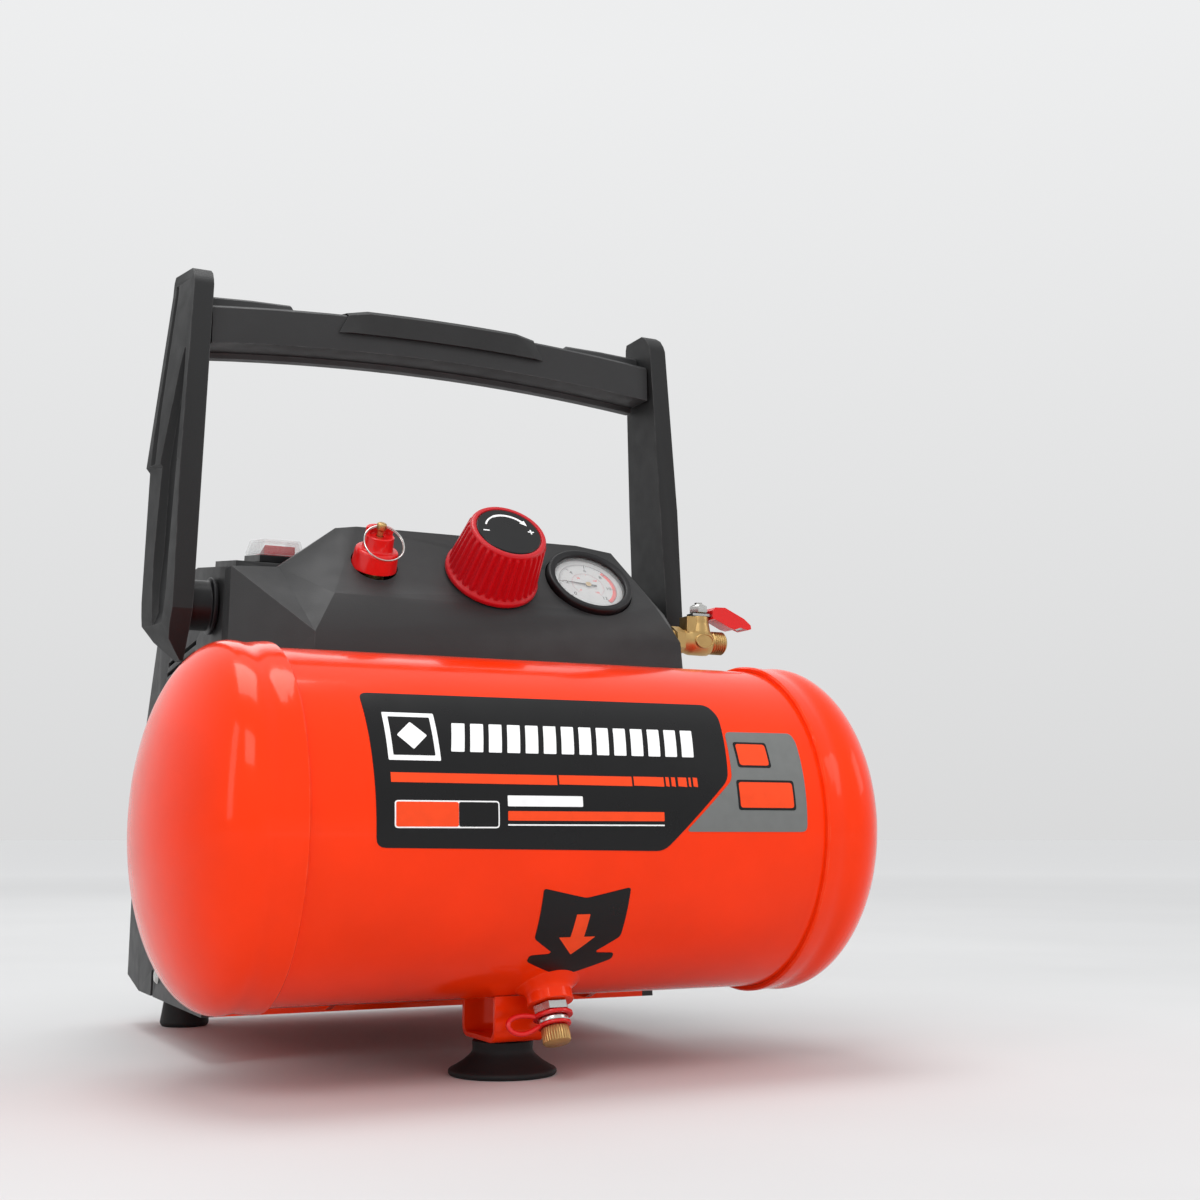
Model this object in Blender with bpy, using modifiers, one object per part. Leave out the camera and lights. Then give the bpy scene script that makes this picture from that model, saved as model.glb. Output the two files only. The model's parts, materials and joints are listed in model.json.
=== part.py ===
"""Portable oil-free air compressor: horizontal tank in front, pump and motor in a casing behind it.

Metres, +Z up, the tank towards -Y. The origin is on the floor, under the middle of the whole object.
Positions are mostly given from the middle of the tank's axis, through the function at().
"""

import math

import bmesh
import bpy
from mathutils import Matrix, Vector

# ---------------------------------------------------------------- driving dimensions
GAP = 0.0003                    # between pieces that touch

TANK_R = 0.0790                 # outer radius of the rolled shell
TANK_WALL = 0.0020
HEAD_R = TANK_R + GAP + TANK_WALL
SEAM_X = 0.1237                 # where each head's skirt ends on the shell
SKIRT = 0.0174                  # straight part of a head
DOME = 0.0364                   # depth of a head beyond its skirt
TANK_SEGMENTS = 48

CASE_BACK = 0.2890              # from the tank's axis to the casing's rear face
TANK_Y = HEAD_R - (HEAD_R + CASE_BACK) / 2
TANK_Z = 0.1140                 # tank axis above the floor

BASE_BOTTOM = -0.0920           # base plate, from the tank's axis
BASE_FRONT = 0.0935
BASE_HALF = 0.1180
SHEET = 0.0020
FLANGE = 0.0140

CASE_BOTTOM_HALF = 0.1245       # half widths of the casing
CASE_TOP_HALF = 0.1200
CASE_SPLIT = 0.2500             # where the rear cover meets the front shell
CASE_WALL = 0.0030

PANEL_TILT = math.radians(50)   # of the control panel, from horizontal
PANEL_Y, PANEL_Z = 0.0700, 0.1313
KNOB_X, GAUGE_X, RELIEF_X = 0.0153, 0.0732, -0.0483
RELIEF_TILT = math.radians(31)
KNOB_R, KNOB_TOP_R, KNOB_H = 0.0255, 0.0208, 0.0318
GAUGE_R, DIAL_R = 0.0249, 0.0193
NEEDLE_ANGLE = math.radians(172)

HUB_Y, HUB_Z, HUB_R = 0.1140, 0.1125, 0.0130
GRIP_INNER_LOW, GRIP_INNER_HIGH = 0.1357, 0.1290
BAR_HALF, BAR_Y, BAR_Z, BAR_RISE = 0.1284, 0.1040, 0.2596, 0.0067

SWITCH_X, SWITCH_Y, PLINTH = -0.0857, 0.1290, 0.0040
DECK_TILT = math.atan2(0.0086, 0.0625)

VALVE_Y, VALVE_Z, VALVE_X = 0.0640, 0.1022, 0.1388
DRAIN_X, DRAIN_TILT = 0.0023, math.radians(24.5)
FOOT_X, FOOT_R = -0.0055, 0.0253
BRACKET_HALF = 0.0125
BRACKET_BOTTOM = -0.0980
REAR_FOOT_X, REAR_FOOT_Y, REAR_FOOT_R = 0.0950, 0.2620, 0.0140

MOTOR_Y, MOTOR_Z, STATOR_R = 0.1850, -0.0250, 0.0480
CRANK_THROW = 0.0100
PISTON_X, PISTON_R = 0.0430, 0.0210


# ---------------------------------------------------------------- scene and materials
def clear_scene():
    for obj in list(bpy.data.objects):
        bpy.data.objects.remove(obj, do_unlink=True)


def new_collection(name):
    collection = bpy.data.collections.new(name)
    bpy.context.scene.collection.children.link(collection)
    return collection


def material(name, colour, roughness, metallic=0.0, alpha=1.0):
    mat = bpy.data.materials.new(name)
    mat.use_nodes = True
    shader = mat.node_tree.nodes["Principled BSDF"]
    shader.inputs["Base Color"].default_value = (*colour, 1.0)
    shader.inputs["Roughness"].default_value = roughness
    shader.inputs["Metallic"].default_value = metallic
    shader.inputs["Alpha"].default_value = alpha
    return mat


clear_scene()
PARTS = new_collection("air_compressor")
CUTTERS = new_collection("cutters")

ORANGE = material("orange_enamel", (0.84, 0.045, 0.012), 0.22)
GREY = material("grey_plastic", (0.065, 0.066, 0.068), 0.52)
BLACK = material("black_plastic", (0.012, 0.012, 0.013), 0.45)
RUBBER = material("black_rubber", (0.010, 0.010, 0.011), 0.75)
RED = material("red_plastic", (0.62, 0.012, 0.018), 0.35)
CLEAR = material("clear_silicone", (0.80, 0.82, 0.82), 0.15, 0.0, 0.35)
WHITE = material("white_dial", (0.85, 0.85, 0.83), 0.5)
BRASS = material("brass", (0.62, 0.39, 0.13), 0.28, 1.0)
STEEL = material("plated_steel", (0.60, 0.60, 0.58), 0.25, 1.0)
CAST = material("cast_aluminium", (0.46, 0.47, 0.48), 0.45, 1.0)
COPPER = material("copper", (0.72, 0.32, 0.18), 0.30, 1.0)
LAMINATION = material("motor_steel", (0.22, 0.22, 0.23), 0.45, 1.0)


# ---------------------------------------------------------------- placing
def at(x, y, z):
    """A place given from the middle of the tank's axis."""
    return Vector((x, TANK_Y + y, TANK_Z + z))


def along(origin, direction):
    """A frame whose Z runs along a direction."""
    turn = Vector(direction).to_track_quat("Z", "Y").to_matrix().to_4x4()
    return Matrix.Translation(origin) @ turn


def leaning(origin, tilt):
    """A frame with X across the object and Z leaning forward from vertical by a tilt."""
    across = Vector((1, 0, 0))
    upslope = Vector((0, math.cos(tilt), math.sin(tilt)))
    normal = Vector((0, -math.sin(tilt), math.cos(tilt)))
    turn = Matrix((across, upslope, normal)).transposed().to_4x4()
    return Matrix.Translation(origin) @ turn


def side_view(origin):
    """A frame whose XY plane is the object's YZ plane, with its Z along the object's X."""
    turn = Matrix(((0, 0, 1), (1, 0, 0), (0, 1, 0))).to_4x4()
    return Matrix.Translation(origin) @ turn


def front_view(origin):
    """A frame whose XY plane is the object's XZ plane, with its Z towards the front."""
    turn = Matrix(((1, 0, 0), (0, 0, -1), (0, 1, 0))).to_4x4()
    return Matrix.Translation(origin) @ turn


# ---------------------------------------------------------------- shapes
def add_object(name, data, mat=None, matrix=None):
    obj = bpy.data.objects.new(name, data)
    (CUTTERS if mat is None else PARTS).objects.link(obj)
    if mat is None:
        obj.hide_render = True
        obj.display_type = "WIRE"
    else:
        data.materials.append(mat)
    if matrix is not None:
        obj.matrix_world = matrix
    return obj


def mesh_object(name, bm, mat=None, matrix=None, smooth=False):
    bmesh.ops.recalc_face_normals(bm, faces=bm.faces)
    mesh = bpy.data.meshes.new(name)
    bm.to_mesh(mesh)
    bm.free()
    if smooth:
        mesh.shade_smooth()
        mesh.set_sharp_from_angle(angle=math.radians(35))
    return add_object(name, mesh, mat, matrix)


def box(name, low, high, mat=None, matrix=None, rounding=0.0):
    """A block between two corners, with rounded edges where asked."""
    bm = bmesh.new()
    bmesh.ops.create_cube(bm, size=1.0)
    low, high = Vector(low), Vector(high)
    bmesh.ops.scale(bm, vec=high - low, verts=bm.verts)
    bmesh.ops.translate(bm, vec=(low + high) / 2, verts=bm.verts)
    obj = mesh_object(name, bm, mat, matrix)
    if rounding:
        bevel = obj.modifiers.new("rounding", "BEVEL")
        bevel.width = rounding
        bevel.segments = 2
    return obj


def cylinder(name, radius, low, high, mat=None, matrix=None, segments=32):
    """A cylinder along its own Z, from low to high."""
    bm = bmesh.new()
    lift = Matrix.Translation((0, 0, (low + high) / 2))
    bmesh.ops.create_cone(bm, cap_ends=True, segments=segments, radius1=radius, radius2=radius,
                          depth=high - low, matrix=lift)
    return mesh_object(name, bm, mat, matrix, smooth=True)


def turned(name, profile, mat=None, matrix=None, segments=32, ring=False):
    """A profile of (radius, height) pairs, down its outer side, turned about its own Z."""
    mesh = bpy.data.meshes.new(name)
    count = len(profile)
    edges = [(i, i + 1) for i in range(count - 1)]
    if ring:
        edges.append((count - 1, 0))
    mesh.from_pydata([(r, 0.0, h) for r, h in profile], edges, [])
    obj = add_object(name, mesh, mat, matrix)
    screw = obj.modifiers.new("turning", "SCREW")
    screw.angle = math.tau
    screw.steps = screw.render_steps = segments
    screw.use_merge_vertices = True
    screw.merge_threshold = 0.00001
    screw.use_smooth_shade = True
    return obj


def hexagon(name, across_flats, low, high, bore, mat, matrix):
    """A hexagon nut along its own Z, with a bore."""
    obj = cylinder(name, across_flats / math.sqrt(3), low, high, mat, matrix, segments=6)
    if bore:
        cut(obj, cylinder(name + "_bore", bore, low - 0.001, high + 0.001, None, matrix, 20))
    return obj


def solid_from_curve(guide, lift=0.0):
    """A curve's skin as a mesh with its end caps welded on. The curve is removed."""
    depsgraph = bpy.context.evaluated_depsgraph_get()
    mesh = bpy.data.meshes.new_from_object(guide.evaluated_get(depsgraph))
    bpy.data.objects.remove(guide, do_unlink=True)
    bm = bmesh.new()
    bm.from_mesh(mesh)
    bpy.data.meshes.remove(mesh)
    bmesh.ops.remove_doubles(bm, verts=bm.verts, dist=0.000005)
    bmesh.ops.translate(bm, vec=(0, 0, lift), verts=bm.verts)
    return bm


def plate(name, outline, low, high, mat=None, matrix=None):
    """A flat outline in its own XY plane, with a thickness from low to high along its Z."""
    curve = bpy.data.curves.new(name, "CURVE")
    curve.dimensions = "2D"
    curve.fill_mode = "BOTH"
    curve.extrude = (high - low) / 2
    spline = curve.splines.new("POLY")
    spline.points.add(len(outline) - 1)
    for point, (x, y) in zip(spline.points, outline):
        point.co = (x, y, 0, 1)
    spline.use_cyclic_u = True
    guide = add_object(name + "_outline", curve)
    bm = solid_from_curve(guide, (low + high) / 2)
    return mesh_object(name, bm, mat, matrix)


def facetted(name, points, mat=None, matrix=None):
    """The tight skin round a set of corner points: a body of flat facets."""
    bm = bmesh.new()
    for point in points:
        bm.verts.new(point)
    bmesh.ops.convex_hull(bm, input=bm.verts)
    bmesh.ops.dissolve_limit(bm, angle_limit=math.radians(0.5), verts=bm.verts, edges=bm.edges)
    return mesh_object(name, bm, mat, matrix)


def loft(name, rings, mat=None, matrix=None, smooth=False):
    """A closed body through rings of the same number of points."""
    bm = bmesh.new()
    rows = [[bm.verts.new(point) for point in ring] for ring in rings]
    for near, far in zip(rows, rows[1:]):
        for i in range(len(near)):
            j = (i + 1) % len(near)
            bm.faces.new((near[i], near[j], far[j], far[i]))
    bm.faces.new(reversed(rows[0]))
    bm.faces.new(rows[-1])
    return mesh_object(name, bm, mat, matrix, smooth)


def pipe(name, points, radius, mat=None, resolution=3, cyclic=False):
    """A round wire or tube through points in the object's space."""
    curve = bpy.data.curves.new(name, "CURVE")
    curve.dimensions = "3D"
    curve.bevel_depth = radius
    curve.bevel_resolution = resolution
    curve.use_fill_caps = not cyclic
    spline = curve.splines.new("POLY")
    spline.points.add(len(points) - 1)
    for point, place in zip(spline.points, points):
        point.co = (*place, 1)
    spline.use_cyclic_u = cyclic
    guide = add_object(name + "_route", curve)
    return mesh_object(name, solid_from_curve(guide), mat, smooth=True)


def smooth_route(points, steps):
    """Points on a Catmull-Rom curve through a few route points."""
    route = [points[0], *points, points[-1]]
    out = []
    for a, b, c, d in zip(route, route[1:], route[2:], route[3:]):
        for i in range(steps):
            t = i / steps
            out.append(0.5 * (2 * b + (c - a) * t + (2 * a - 5 * b + 4 * c - d) * t * t
                              + (3 * b - a - 3 * c + d) * t ** 3))
    return [*out, points[-1]]


def arc(cx, cy, radius, start, end, steps):
    """Points on an arc in a flat outline, angles in degrees."""
    turns = [math.radians(start + (end - start) * i / steps) for i in range(steps + 1)]
    return [(cx + radius * math.cos(t), cy + radius * math.sin(t)) for t in turns]


def boolean(obj, tool, operation):
    step = obj.modifiers.new(operation.lower(), "BOOLEAN")
    step.operation = operation
    step.solver = "EXACT"
    step.object = tool
    return obj


def cut(obj, tool):
    return boolean(obj, tool, "DIFFERENCE")


def join(obj, tool):
    return boolean(obj, tool, "UNION")


SIDES = ((-1, "left"), (1, "right"))


def tank_cutter(name, clearance):
    """The tank's round space, for what sits against it."""
    return cylinder(name, TANK_R + clearance, -0.16, 0.16, None, along(at(0, 0, 0), (1, 0, 0)),
                    TANK_SEGMENTS)


# ---------------------------------------------------------------- tank
def radial(x, tilt):
    """A frame on the tank's axis, with Z out of the shell: tilt forward from straight down."""
    return along(at(x, 0, 0), (0, -math.sin(tilt), -math.cos(tilt)))


def build_tank():
    half = SEAM_X + SKIRT - 0.002
    inner = TANK_R - TANK_WALL
    shell = turned("tank_shell", [(TANK_R, half), (TANK_R, -half), (inner, -half), (inner, half)],
                   ORANGE, along(at(0, 0, 0), (1, 0, 0)), TANK_SEGMENTS, ring=True)
    drain = [(0.0000, 0.0872), (0.0104, 0.0872), (0.0108, 0.0868), (0.0108, 0.0842),
             (0.0095, 0.0832), (0.0095, 0.0760), (0.0000, 0.0760)]
    inlet = [(0.0000, 0.0860), (0.0090, 0.0860), (0.0090, 0.0760), (0.0000, 0.0760)]
    for name, profile, place in (("drain", drain, radial(DRAIN_X, DRAIN_TILT)),
                                 ("inlet", inlet, inlet_frame())):
        boss = turned(name + "_boss", profile, None, place, 28)
        cut(boss, cylinder(name + "_bore_low", inner - 0.0003, -0.1, 0.1, None,
                           along(at(0, 0, 0), (1, 0, 0)), TANK_SEGMENTS))
        join(shell, boss)
        cut(shell, cylinder(name + "_port", 0.0045, 0.07, 0.09, None, place, 16))

    steps = 6
    turns = [math.pi / 2 * i / steps for i in range(steps + 1)]
    outside = [(HEAD_R * math.sin(t), SKIRT + DOME * math.cos(t)) for t in turns]
    depth, radius = DOME - TANK_WALL, HEAD_R - TANK_WALL
    inside = [(radius * math.sin(t), SKIRT + depth * math.cos(t)) for t in reversed(turns)]
    profile = [*outside, (HEAD_R, 0), (radius, 0), *inside]
    for side, name in ((-1, "tank_head_left"), (1, "tank_head_right")):
        turned(name, profile, ORANGE, along(at(side * SEAM_X, 0, 0), (side, 0, 0)), TANK_SEGMENTS)


def inlet_frame():
    """Out of the tank's upper rear, under the casing, where the pump's air comes in."""
    return along(at(-0.080, 0, 0), (0, math.sin(math.radians(50)), math.cos(math.radians(50))))


def build_drain():
    frame = radial(DRAIN_X, DRAIN_TILT)
    nipple = [(0.0000, 0.0985), (0.0042, 0.0985), (0.0042, 0.0956), (0.0066, 0.0956),
              (0.0066, 0.0918), (0.0060, 0.0918), (0.0060, 0.0912), (0.0078, 0.0912),
              (0.0078, 0.0875), (0.0039, 0.0875), (0.0039, 0.0780), (0.0000, 0.0780)]
    turned("drain_nipple", nipple, STEEL, frame, 12)
    cap = [(0.0000, 0.1055), (0.0058, 0.1055), (0.0064, 0.1050), (0.0064, 0.0985),
           (0.0058, 0.0979), (0.0046, 0.0979), (0.0046, 0.0990), (0.0000, 0.0990)]
    turned("drain_cap", cap, BRASS, frame, 24)
    build_drain_strap(frame)


def build_drain_strap(frame):
    """A rubber tether: a ring round the nipple, a loop to the left, a ring under the cap."""
    strap = turned("drain_strap", [(0.0095, 0.0917), (0.0095, 0.0902), (0.0081, 0.0902),
                                   (0.0081, 0.0917)], RED, frame, 20, ring=True)
    lower = turned("strap_lower_ring", [(0.0078, 0.0975), (0.0078, 0.0960), (0.0046, 0.0960),
                                        (0.0046, 0.0975)], None, frame, 20, ring=True)
    start = frame @ Vector((0, 0, 0.09095))
    end = frame @ Vector((0, 0, 0.09675))
    left = Vector((-1, 0, 0))
    forward = frame.to_3x3() @ Vector((0, 0, 1))
    route = [start + left * 0.0088, start + left * 0.0150 - forward * 0.0006,
             start + left * 0.0215 + forward * 0.0018, start + left * 0.0225 + forward * 0.0050,
             end + left * 0.0165 + forward * 0.0034, end + left * 0.0110 + forward * 0.0008,
             end + left * 0.0070]
    join(strap, lower)
    join(strap, pipe("strap_loop", smooth_route(route, 3), 0.0011, None, 1))


# ---------------------------------------------------------------- feet and base
def build_foot():
    bracket_y, bend, thick = 0.0200, 0.0060, 0.0025
    bottom = BRACKET_BOTTOM
    top = -0.0680
    outer = [(-bracket_y, top), *arc(bend - bracket_y, bottom + bend, bend, 180, 270, 4),
             *arc(bracket_y - bend, bottom + bend, bend, 270, 360, 4), (bracket_y, top)]
    inset = bend - thick
    inner = [(bracket_y - thick, top), *arc(bracket_y - bend, bottom + bend, inset, 360, 270, 4),
             *arc(bend - bracket_y, bottom + bend, inset, 270, 180, 4), (thick - bracket_y, top)]
    bracket = plate("foot_bracket", [*outer, *inner], -BRACKET_HALF, BRACKET_HALF, ORANGE,
                    side_view(at(FOOT_X, 0, 0)))
    cut(bracket, tank_cutter("bracket_seat", GAP))
    floor = Matrix.Translation((FOOT_X, TANK_Y, 0))
    cut(bracket, cylinder("bracket_hole", 0.0034, 0.012, 0.022, None, floor, 20))

    neck_top = TANK_Z + bottom - GAP
    foot = [(0.0034, neck_top), (0.0152, neck_top), (0.0148, 0.0108), (0.0160, 0.0094),
            (0.0190, 0.0068), (0.0225, 0.0045), (0.0249, 0.0034), (FOOT_R, 0.0026),
            (FOOT_R, 0.0010), (0.0243, 0.0000), (0.0205, 0.0000), (0.0160, 0.0024),
            (0.0034, 0.0040)]
    turned("front_foot", foot, RUBBER, floor, 32, ring=True)


def rear_foot_place(side):
    """On the floor, under one end of the base plate."""
    place = at(side * REAR_FOOT_X, REAR_FOOT_Y, 0)
    return Matrix.Translation((place.x, place.y, 0))


def build_base():
    y0, y1, z0 = BASE_FRONT, 0.2840, BASE_BOTTOM
    channel = [(y0, z0), (y1, z0), (y1, z0 + FLANGE), (y1 - SHEET, z0 + FLANGE),
               (y1 - SHEET, z0 + SHEET), (y0 + SHEET, z0 + SHEET), (y0 + SHEET, z0 + FLANGE),
               (y0, z0 + FLANGE)]
    base = plate("base_plate", channel, -BASE_HALF, BASE_HALF, ORANGE, side_view(at(0, 0, 0)))
    for side in (-1, 1):
        cut(base, cylinder("rear_foot_hole", 0.0028, 0.015, 0.03, None, rear_foot_place(side), 16))

    gusset = [(0.0300, -0.0600), (0.0600, -0.0300), (y0 + 0.0010, -0.0820), (y0 + 0.0010, -0.0880),
              (0.0640, -0.0880), (0.0300, -0.0760)]
    for side, _ in SIDES:
        wing = plate("gusset", gusset, -0.0015, 0.0015, None, side_view(at(side * 0.07, 0, 0)))
        join(base, cut(wing, tank_cutter("gusset_seat", GAP)))

    foot_top = TANK_Z + BASE_BOTTOM - GAP
    profile = [(0.0028, foot_top), (REAR_FOOT_R - 0.003, foot_top), (REAR_FOOT_R, 0.0020),
               (REAR_FOOT_R - 0.0012, 0.0000), (0.0060, 0.0000), (0.0060, 0.0060), (0.0028, 0.0060)]
    for side, name in SIDES:
        turned("rear_foot_" + name, profile, RUBBER, rear_foot_place(side), 28, ring=True)


# ---------------------------------------------------------------- casing
BODY_CORNERS = [(CASE_BOTTOM_HALF, BASE_FRONT, BASE_BOTTOM), (CASE_BOTTOM_HALF, CASE_SPLIT, BASE_BOTTOM),
                (CASE_TOP_HALF, BASE_FRONT, 0.1304), (CASE_TOP_HALF, 0.1560, 0.1390),
                (0.1190, 0.2280, 0.1390), (0.1193, CASE_SPLIT, 0.1280)]

# the console is two bodies, which meet in a valley: a low left shoulder and the raised panel
SHOULDER_CORNERS = [
    (-0.1200, 0.0810, 0.1290), (-0.1215, 0.0800, 0.0500), (-0.0950, 0.0850, 0.1308),
    (-0.0868, 0.0450, 0.0939), (-0.0875, 0.0450, 0.0500), (-0.1200, 0.1060, 0.1300),
    (-0.0950, 0.1060, 0.1310), (-0.1215, 0.1060, 0.0500), (-0.0875, 0.1060, 0.0500)]

CONSOLE_CORNERS = [
    (-0.0950, 0.0850, 0.1308), (-0.0640, 0.0910, 0.1545), (-0.0520, 0.0920, 0.1565),
    (0.0760, 0.0920, 0.1565), (0.0970, 0.0900, 0.1535),
    (-0.0740, 0.0565, 0.1150), (0.0050, 0.0503, 0.1075), (0.0720, 0.0522, 0.1100),
    (-0.0868, 0.0450, 0.0939), (-0.0875, 0.0450, 0.0500), (0.0050, 0.0503, 0.0500),
    (0.1040, 0.0720, 0.1340), (0.1090, 0.0600, 0.1200), (0.1215, 0.0540, 0.1000),
    (0.1240, 0.0560, 0.0860), (0.1245, 0.0580, 0.0500), (0.1225, 0.0660, 0.1060),
    (0.1190, 0.0680, 0.1170),
    (-0.0875, 0.1060, 0.0500), (0.1210, 0.1060, 0.0500), (-0.0950, 0.1060, 0.1310),
    (-0.0600, 0.1060, 0.1400), (0.0940, 0.1060, 0.1400), (0.1180, 0.1060, 0.1280)]


def both_sides(corners):
    return [(side * x, y, z) for x, y, z in corners for side in (-1, 1)]


def inset(corners, centre, scale):
    """The same corners drawn in towards a centre, for the inside of a moulding."""
    return [tuple(c + (p - c) * s for p, c, s in zip(corner, centre, scale)) for corner in corners]


def build_housing():
    frame = Matrix.Translation(at(0, 0, 0))
    shell = facetted("housing_shell", both_sides(BODY_CORNERS), GREY, frame)
    join(shell, facetted("console_block", CONSOLE_CORNERS, None, frame))
    join(shell, facetted("shoulder_block", SHOULDER_CORNERS, None, frame))
    join(shell, box("switch_plinth", (-0.0263, -0.0250, -0.0080), (0.0157, 0.0210, 0.0000), None,
                    switch_frame()))
    cut(shell, tank_cutter("housing_saddle", 0.0010))
    cut(shell, cylinder("head_clearance", HEAD_R + 0.0006, SEAM_X - 0.0008, 0.13, None,
                        along(at(0, 0, 0), (1, 0, 0)), TANK_SEGMENTS))

    inner = [(0.1210, BASE_FRONT + CASE_WALL, -0.0960), (0.1210, 0.2600, -0.0960),
             (0.1166, BASE_FRONT + CASE_WALL, 0.1270), (0.1166, 0.1560, 0.1357),
             (0.1160, 0.2270, 0.1357), (0.1160, 0.2600, 0.1190)]
    cut(shell, facetted("housing_cavity", both_sides(inner), None, frame))
    for name, corners, centre, scale in (
            ("console", CONSOLE_CORNERS, (0.010, 0.090, 0.100), (0.965, 0.88, 0.93)),
            ("shoulder", SHOULDER_CORNERS, (-0.101, 0.090, 0.095), (0.84, 0.86, 0.90))):
        hollow = facetted(name + "_cavity", inset(corners, centre, scale), None, frame)
        cut(hollow, tank_cutter(name + "_saddle_wall", 0.0040))
        cut(shell, hollow)

    tray_top = BASE_BOTTOM + SHEET + GAP
    edge = BASE_HALF + GAP
    cut(shell, box("base_space", (-edge, 0.090, BASE_BOTTOM - 0.002), (edge, 0.26, tray_top),
                   None, frame))
    cut(shell, box("flange_space", (-edge, 0.090, BASE_BOTTOM - 0.002),
                   (edge, BASE_FRONT + SHEET + GAP, BASE_BOTTOM + FLANGE + GAP), None, frame))

    panel = leaning(at(0, PANEL_Y, PANEL_Z), PANEL_TILT)
    for x, radius, name in ((KNOB_X, 0.0150, "knob_hole"), (GAUGE_X, GAUGE_R + GAP, "gauge_hole")):
        cut(shell, cylinder(name, radius, -0.02, 0.02, None, panel @ Matrix.Translation((x, 0, 0)), 32))
    cut(shell, cylinder("relief_hole", 0.0124, -0.016, 0.02, None, relief_frame(), 32))
    outlet = along(at(0, VALVE_Y, VALVE_Z), (1, 0, 0))
    cut(shell, cylinder("outlet_hole", 0.0069, 0.10, 0.13, None, outlet, 24))
    cut(shell, cylinder("outlet_recess", 0.0089, 0.1204, 0.13, None, outlet, 24))
    cut(shell, cylinder("inlet_boss_hole", 0.0105, 0.07, 0.10, None, inlet_frame(), 24))
    cut(shell, box("switch_hole", (-0.0111, -0.0146, -0.02), (0.0111, 0.0146, 0.02), None,
                   switch_frame()))
    cut(shell, cylinder("cord_hole", 0.0058, 0.11, 0.13, None,
                        along(at(0, 0.225, -0.060), (1, 0, 0)), 24))
    for side in (-1, 1):
        pivot = along(at(0, HUB_Y, HUB_Z), (side, 0, 0))
        cut(shell, cylinder("pivot_hole", 0.0053, 0.10, 0.14, None, pivot, 20))
        screw = along(at(0, 0.198, -0.0800), (side, 0, 0))
        cut(shell, cylinder("side_screw_hole", 0.0023, 0.11, 0.13, None, screw, 12))
        low, high = sorted((side * 0.115, side * 0.13))
        cut(shell, box("skirt_notch", (low, 0.210, -0.095), (high, 0.216, -0.078), None, frame))
        for row in range(9):
            lift = 0.0930 - 0.0055 * row
            rear = 0.2200 + 0.0025 * min(row, 6)
            slot = [(rear - 0.070, lift + 0.0060), (rear, lift), (rear, lift - 0.0026),
                    (rear - 0.070, lift + 0.0034)]
            cut(shell, plate("vent_slot", slot, low, high, None, side_view(at(0, 0, 0))))


def cover_screw_place(side):
    return along(at(side * 0.105, CASE_BACK, -0.065), (0, 1, 0))


def build_rear_cover():
    frame = Matrix.Translation(at(0, 0, 0))
    rim = CASE_SPLIT + GAP
    outer = [(CASE_BOTTOM_HALF, rim, BASE_BOTTOM), (0.1193, rim, 0.1280),
             (0.1235, CASE_BACK, BASE_BOTTOM + 0.006), (0.1225, CASE_BACK, 0.0200),
             (0.1190, 0.2560, 0.0720), (0.1175, 0.2560, 0.1190)]
    cover = facetted("rear_cover", both_sides(outer), GREY, frame)
    back = CASE_BACK - CASE_WALL
    inner = [(0.1210, rim - 0.01, -0.0960), (0.1160, rim - 0.01, 0.1250),
             (0.1200, back, -0.0960), (0.1195, back, 0.0190),
             (0.1160, 0.2530, 0.0700), (0.1145, 0.2530, 0.1160)]
    cut(cover, facetted("cover_cavity", both_sides(inner), None, frame))
    for side, _ in SIDES:
        place = cover_screw_place(side)
        cut(cover, cylinder("cover_counterbore", 0.0042, -0.0018, 0.002, None, place, 16))
        cut(cover, cylinder("cover_screw_hole", 0.0020, -0.02, 0.002, None, place, 12))
    for row in range(9):
        z = -0.055 + 0.0085 * row
        cut(cover, box("cover_slot", (-0.070, 0.27, z), (0.070, 0.30, z + 0.0036), None, frame))

    cover_screw = [(0.0000, -0.0002), (0.0030, -0.0002), (0.0038, -0.0010), (0.0038, -0.0015),
                   (0.0017, -0.0015), (0.0017, -0.0140), (0.0000, -0.0140)]
    side_screw = [(0.0000, 0.0020), (0.0028, 0.0017), (0.0042, 0.0003), (0.0019, 0.0003),
                  (0.0019, -0.0060), (0.0000, -0.0060)]
    for side, name in SIDES:
        turned("cover_screw_" + name, cover_screw, STEEL, cover_screw_place(side), 16)
        turned("side_screw_" + name, side_screw, STEEL,
               along(at(side * 0.1246, 0.198, -0.0800), (side, 0, 0)), 16)

    gland = [(0.0053, 0.0130), (0.0078, 0.0130), (0.0088, 0.0030), (0.0110, 0.0026),
             (0.0110, 0.0003), (0.0053, 0.0003)]
    turned("cord_gland", gland, BLACK, along(at(CASE_BOTTOM_HALF, 0.225, -0.060), (1, 0, 0)), 24,
           ring=True)


# ---------------------------------------------------------------- handle
def grip_inner(z):
    """Half the width between the uprights at a height."""
    t = (z - 0.105) / (0.277 - 0.105)
    return GRIP_INNER_LOW + (GRIP_INNER_HIGH - GRIP_INNER_LOW) * t


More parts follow.
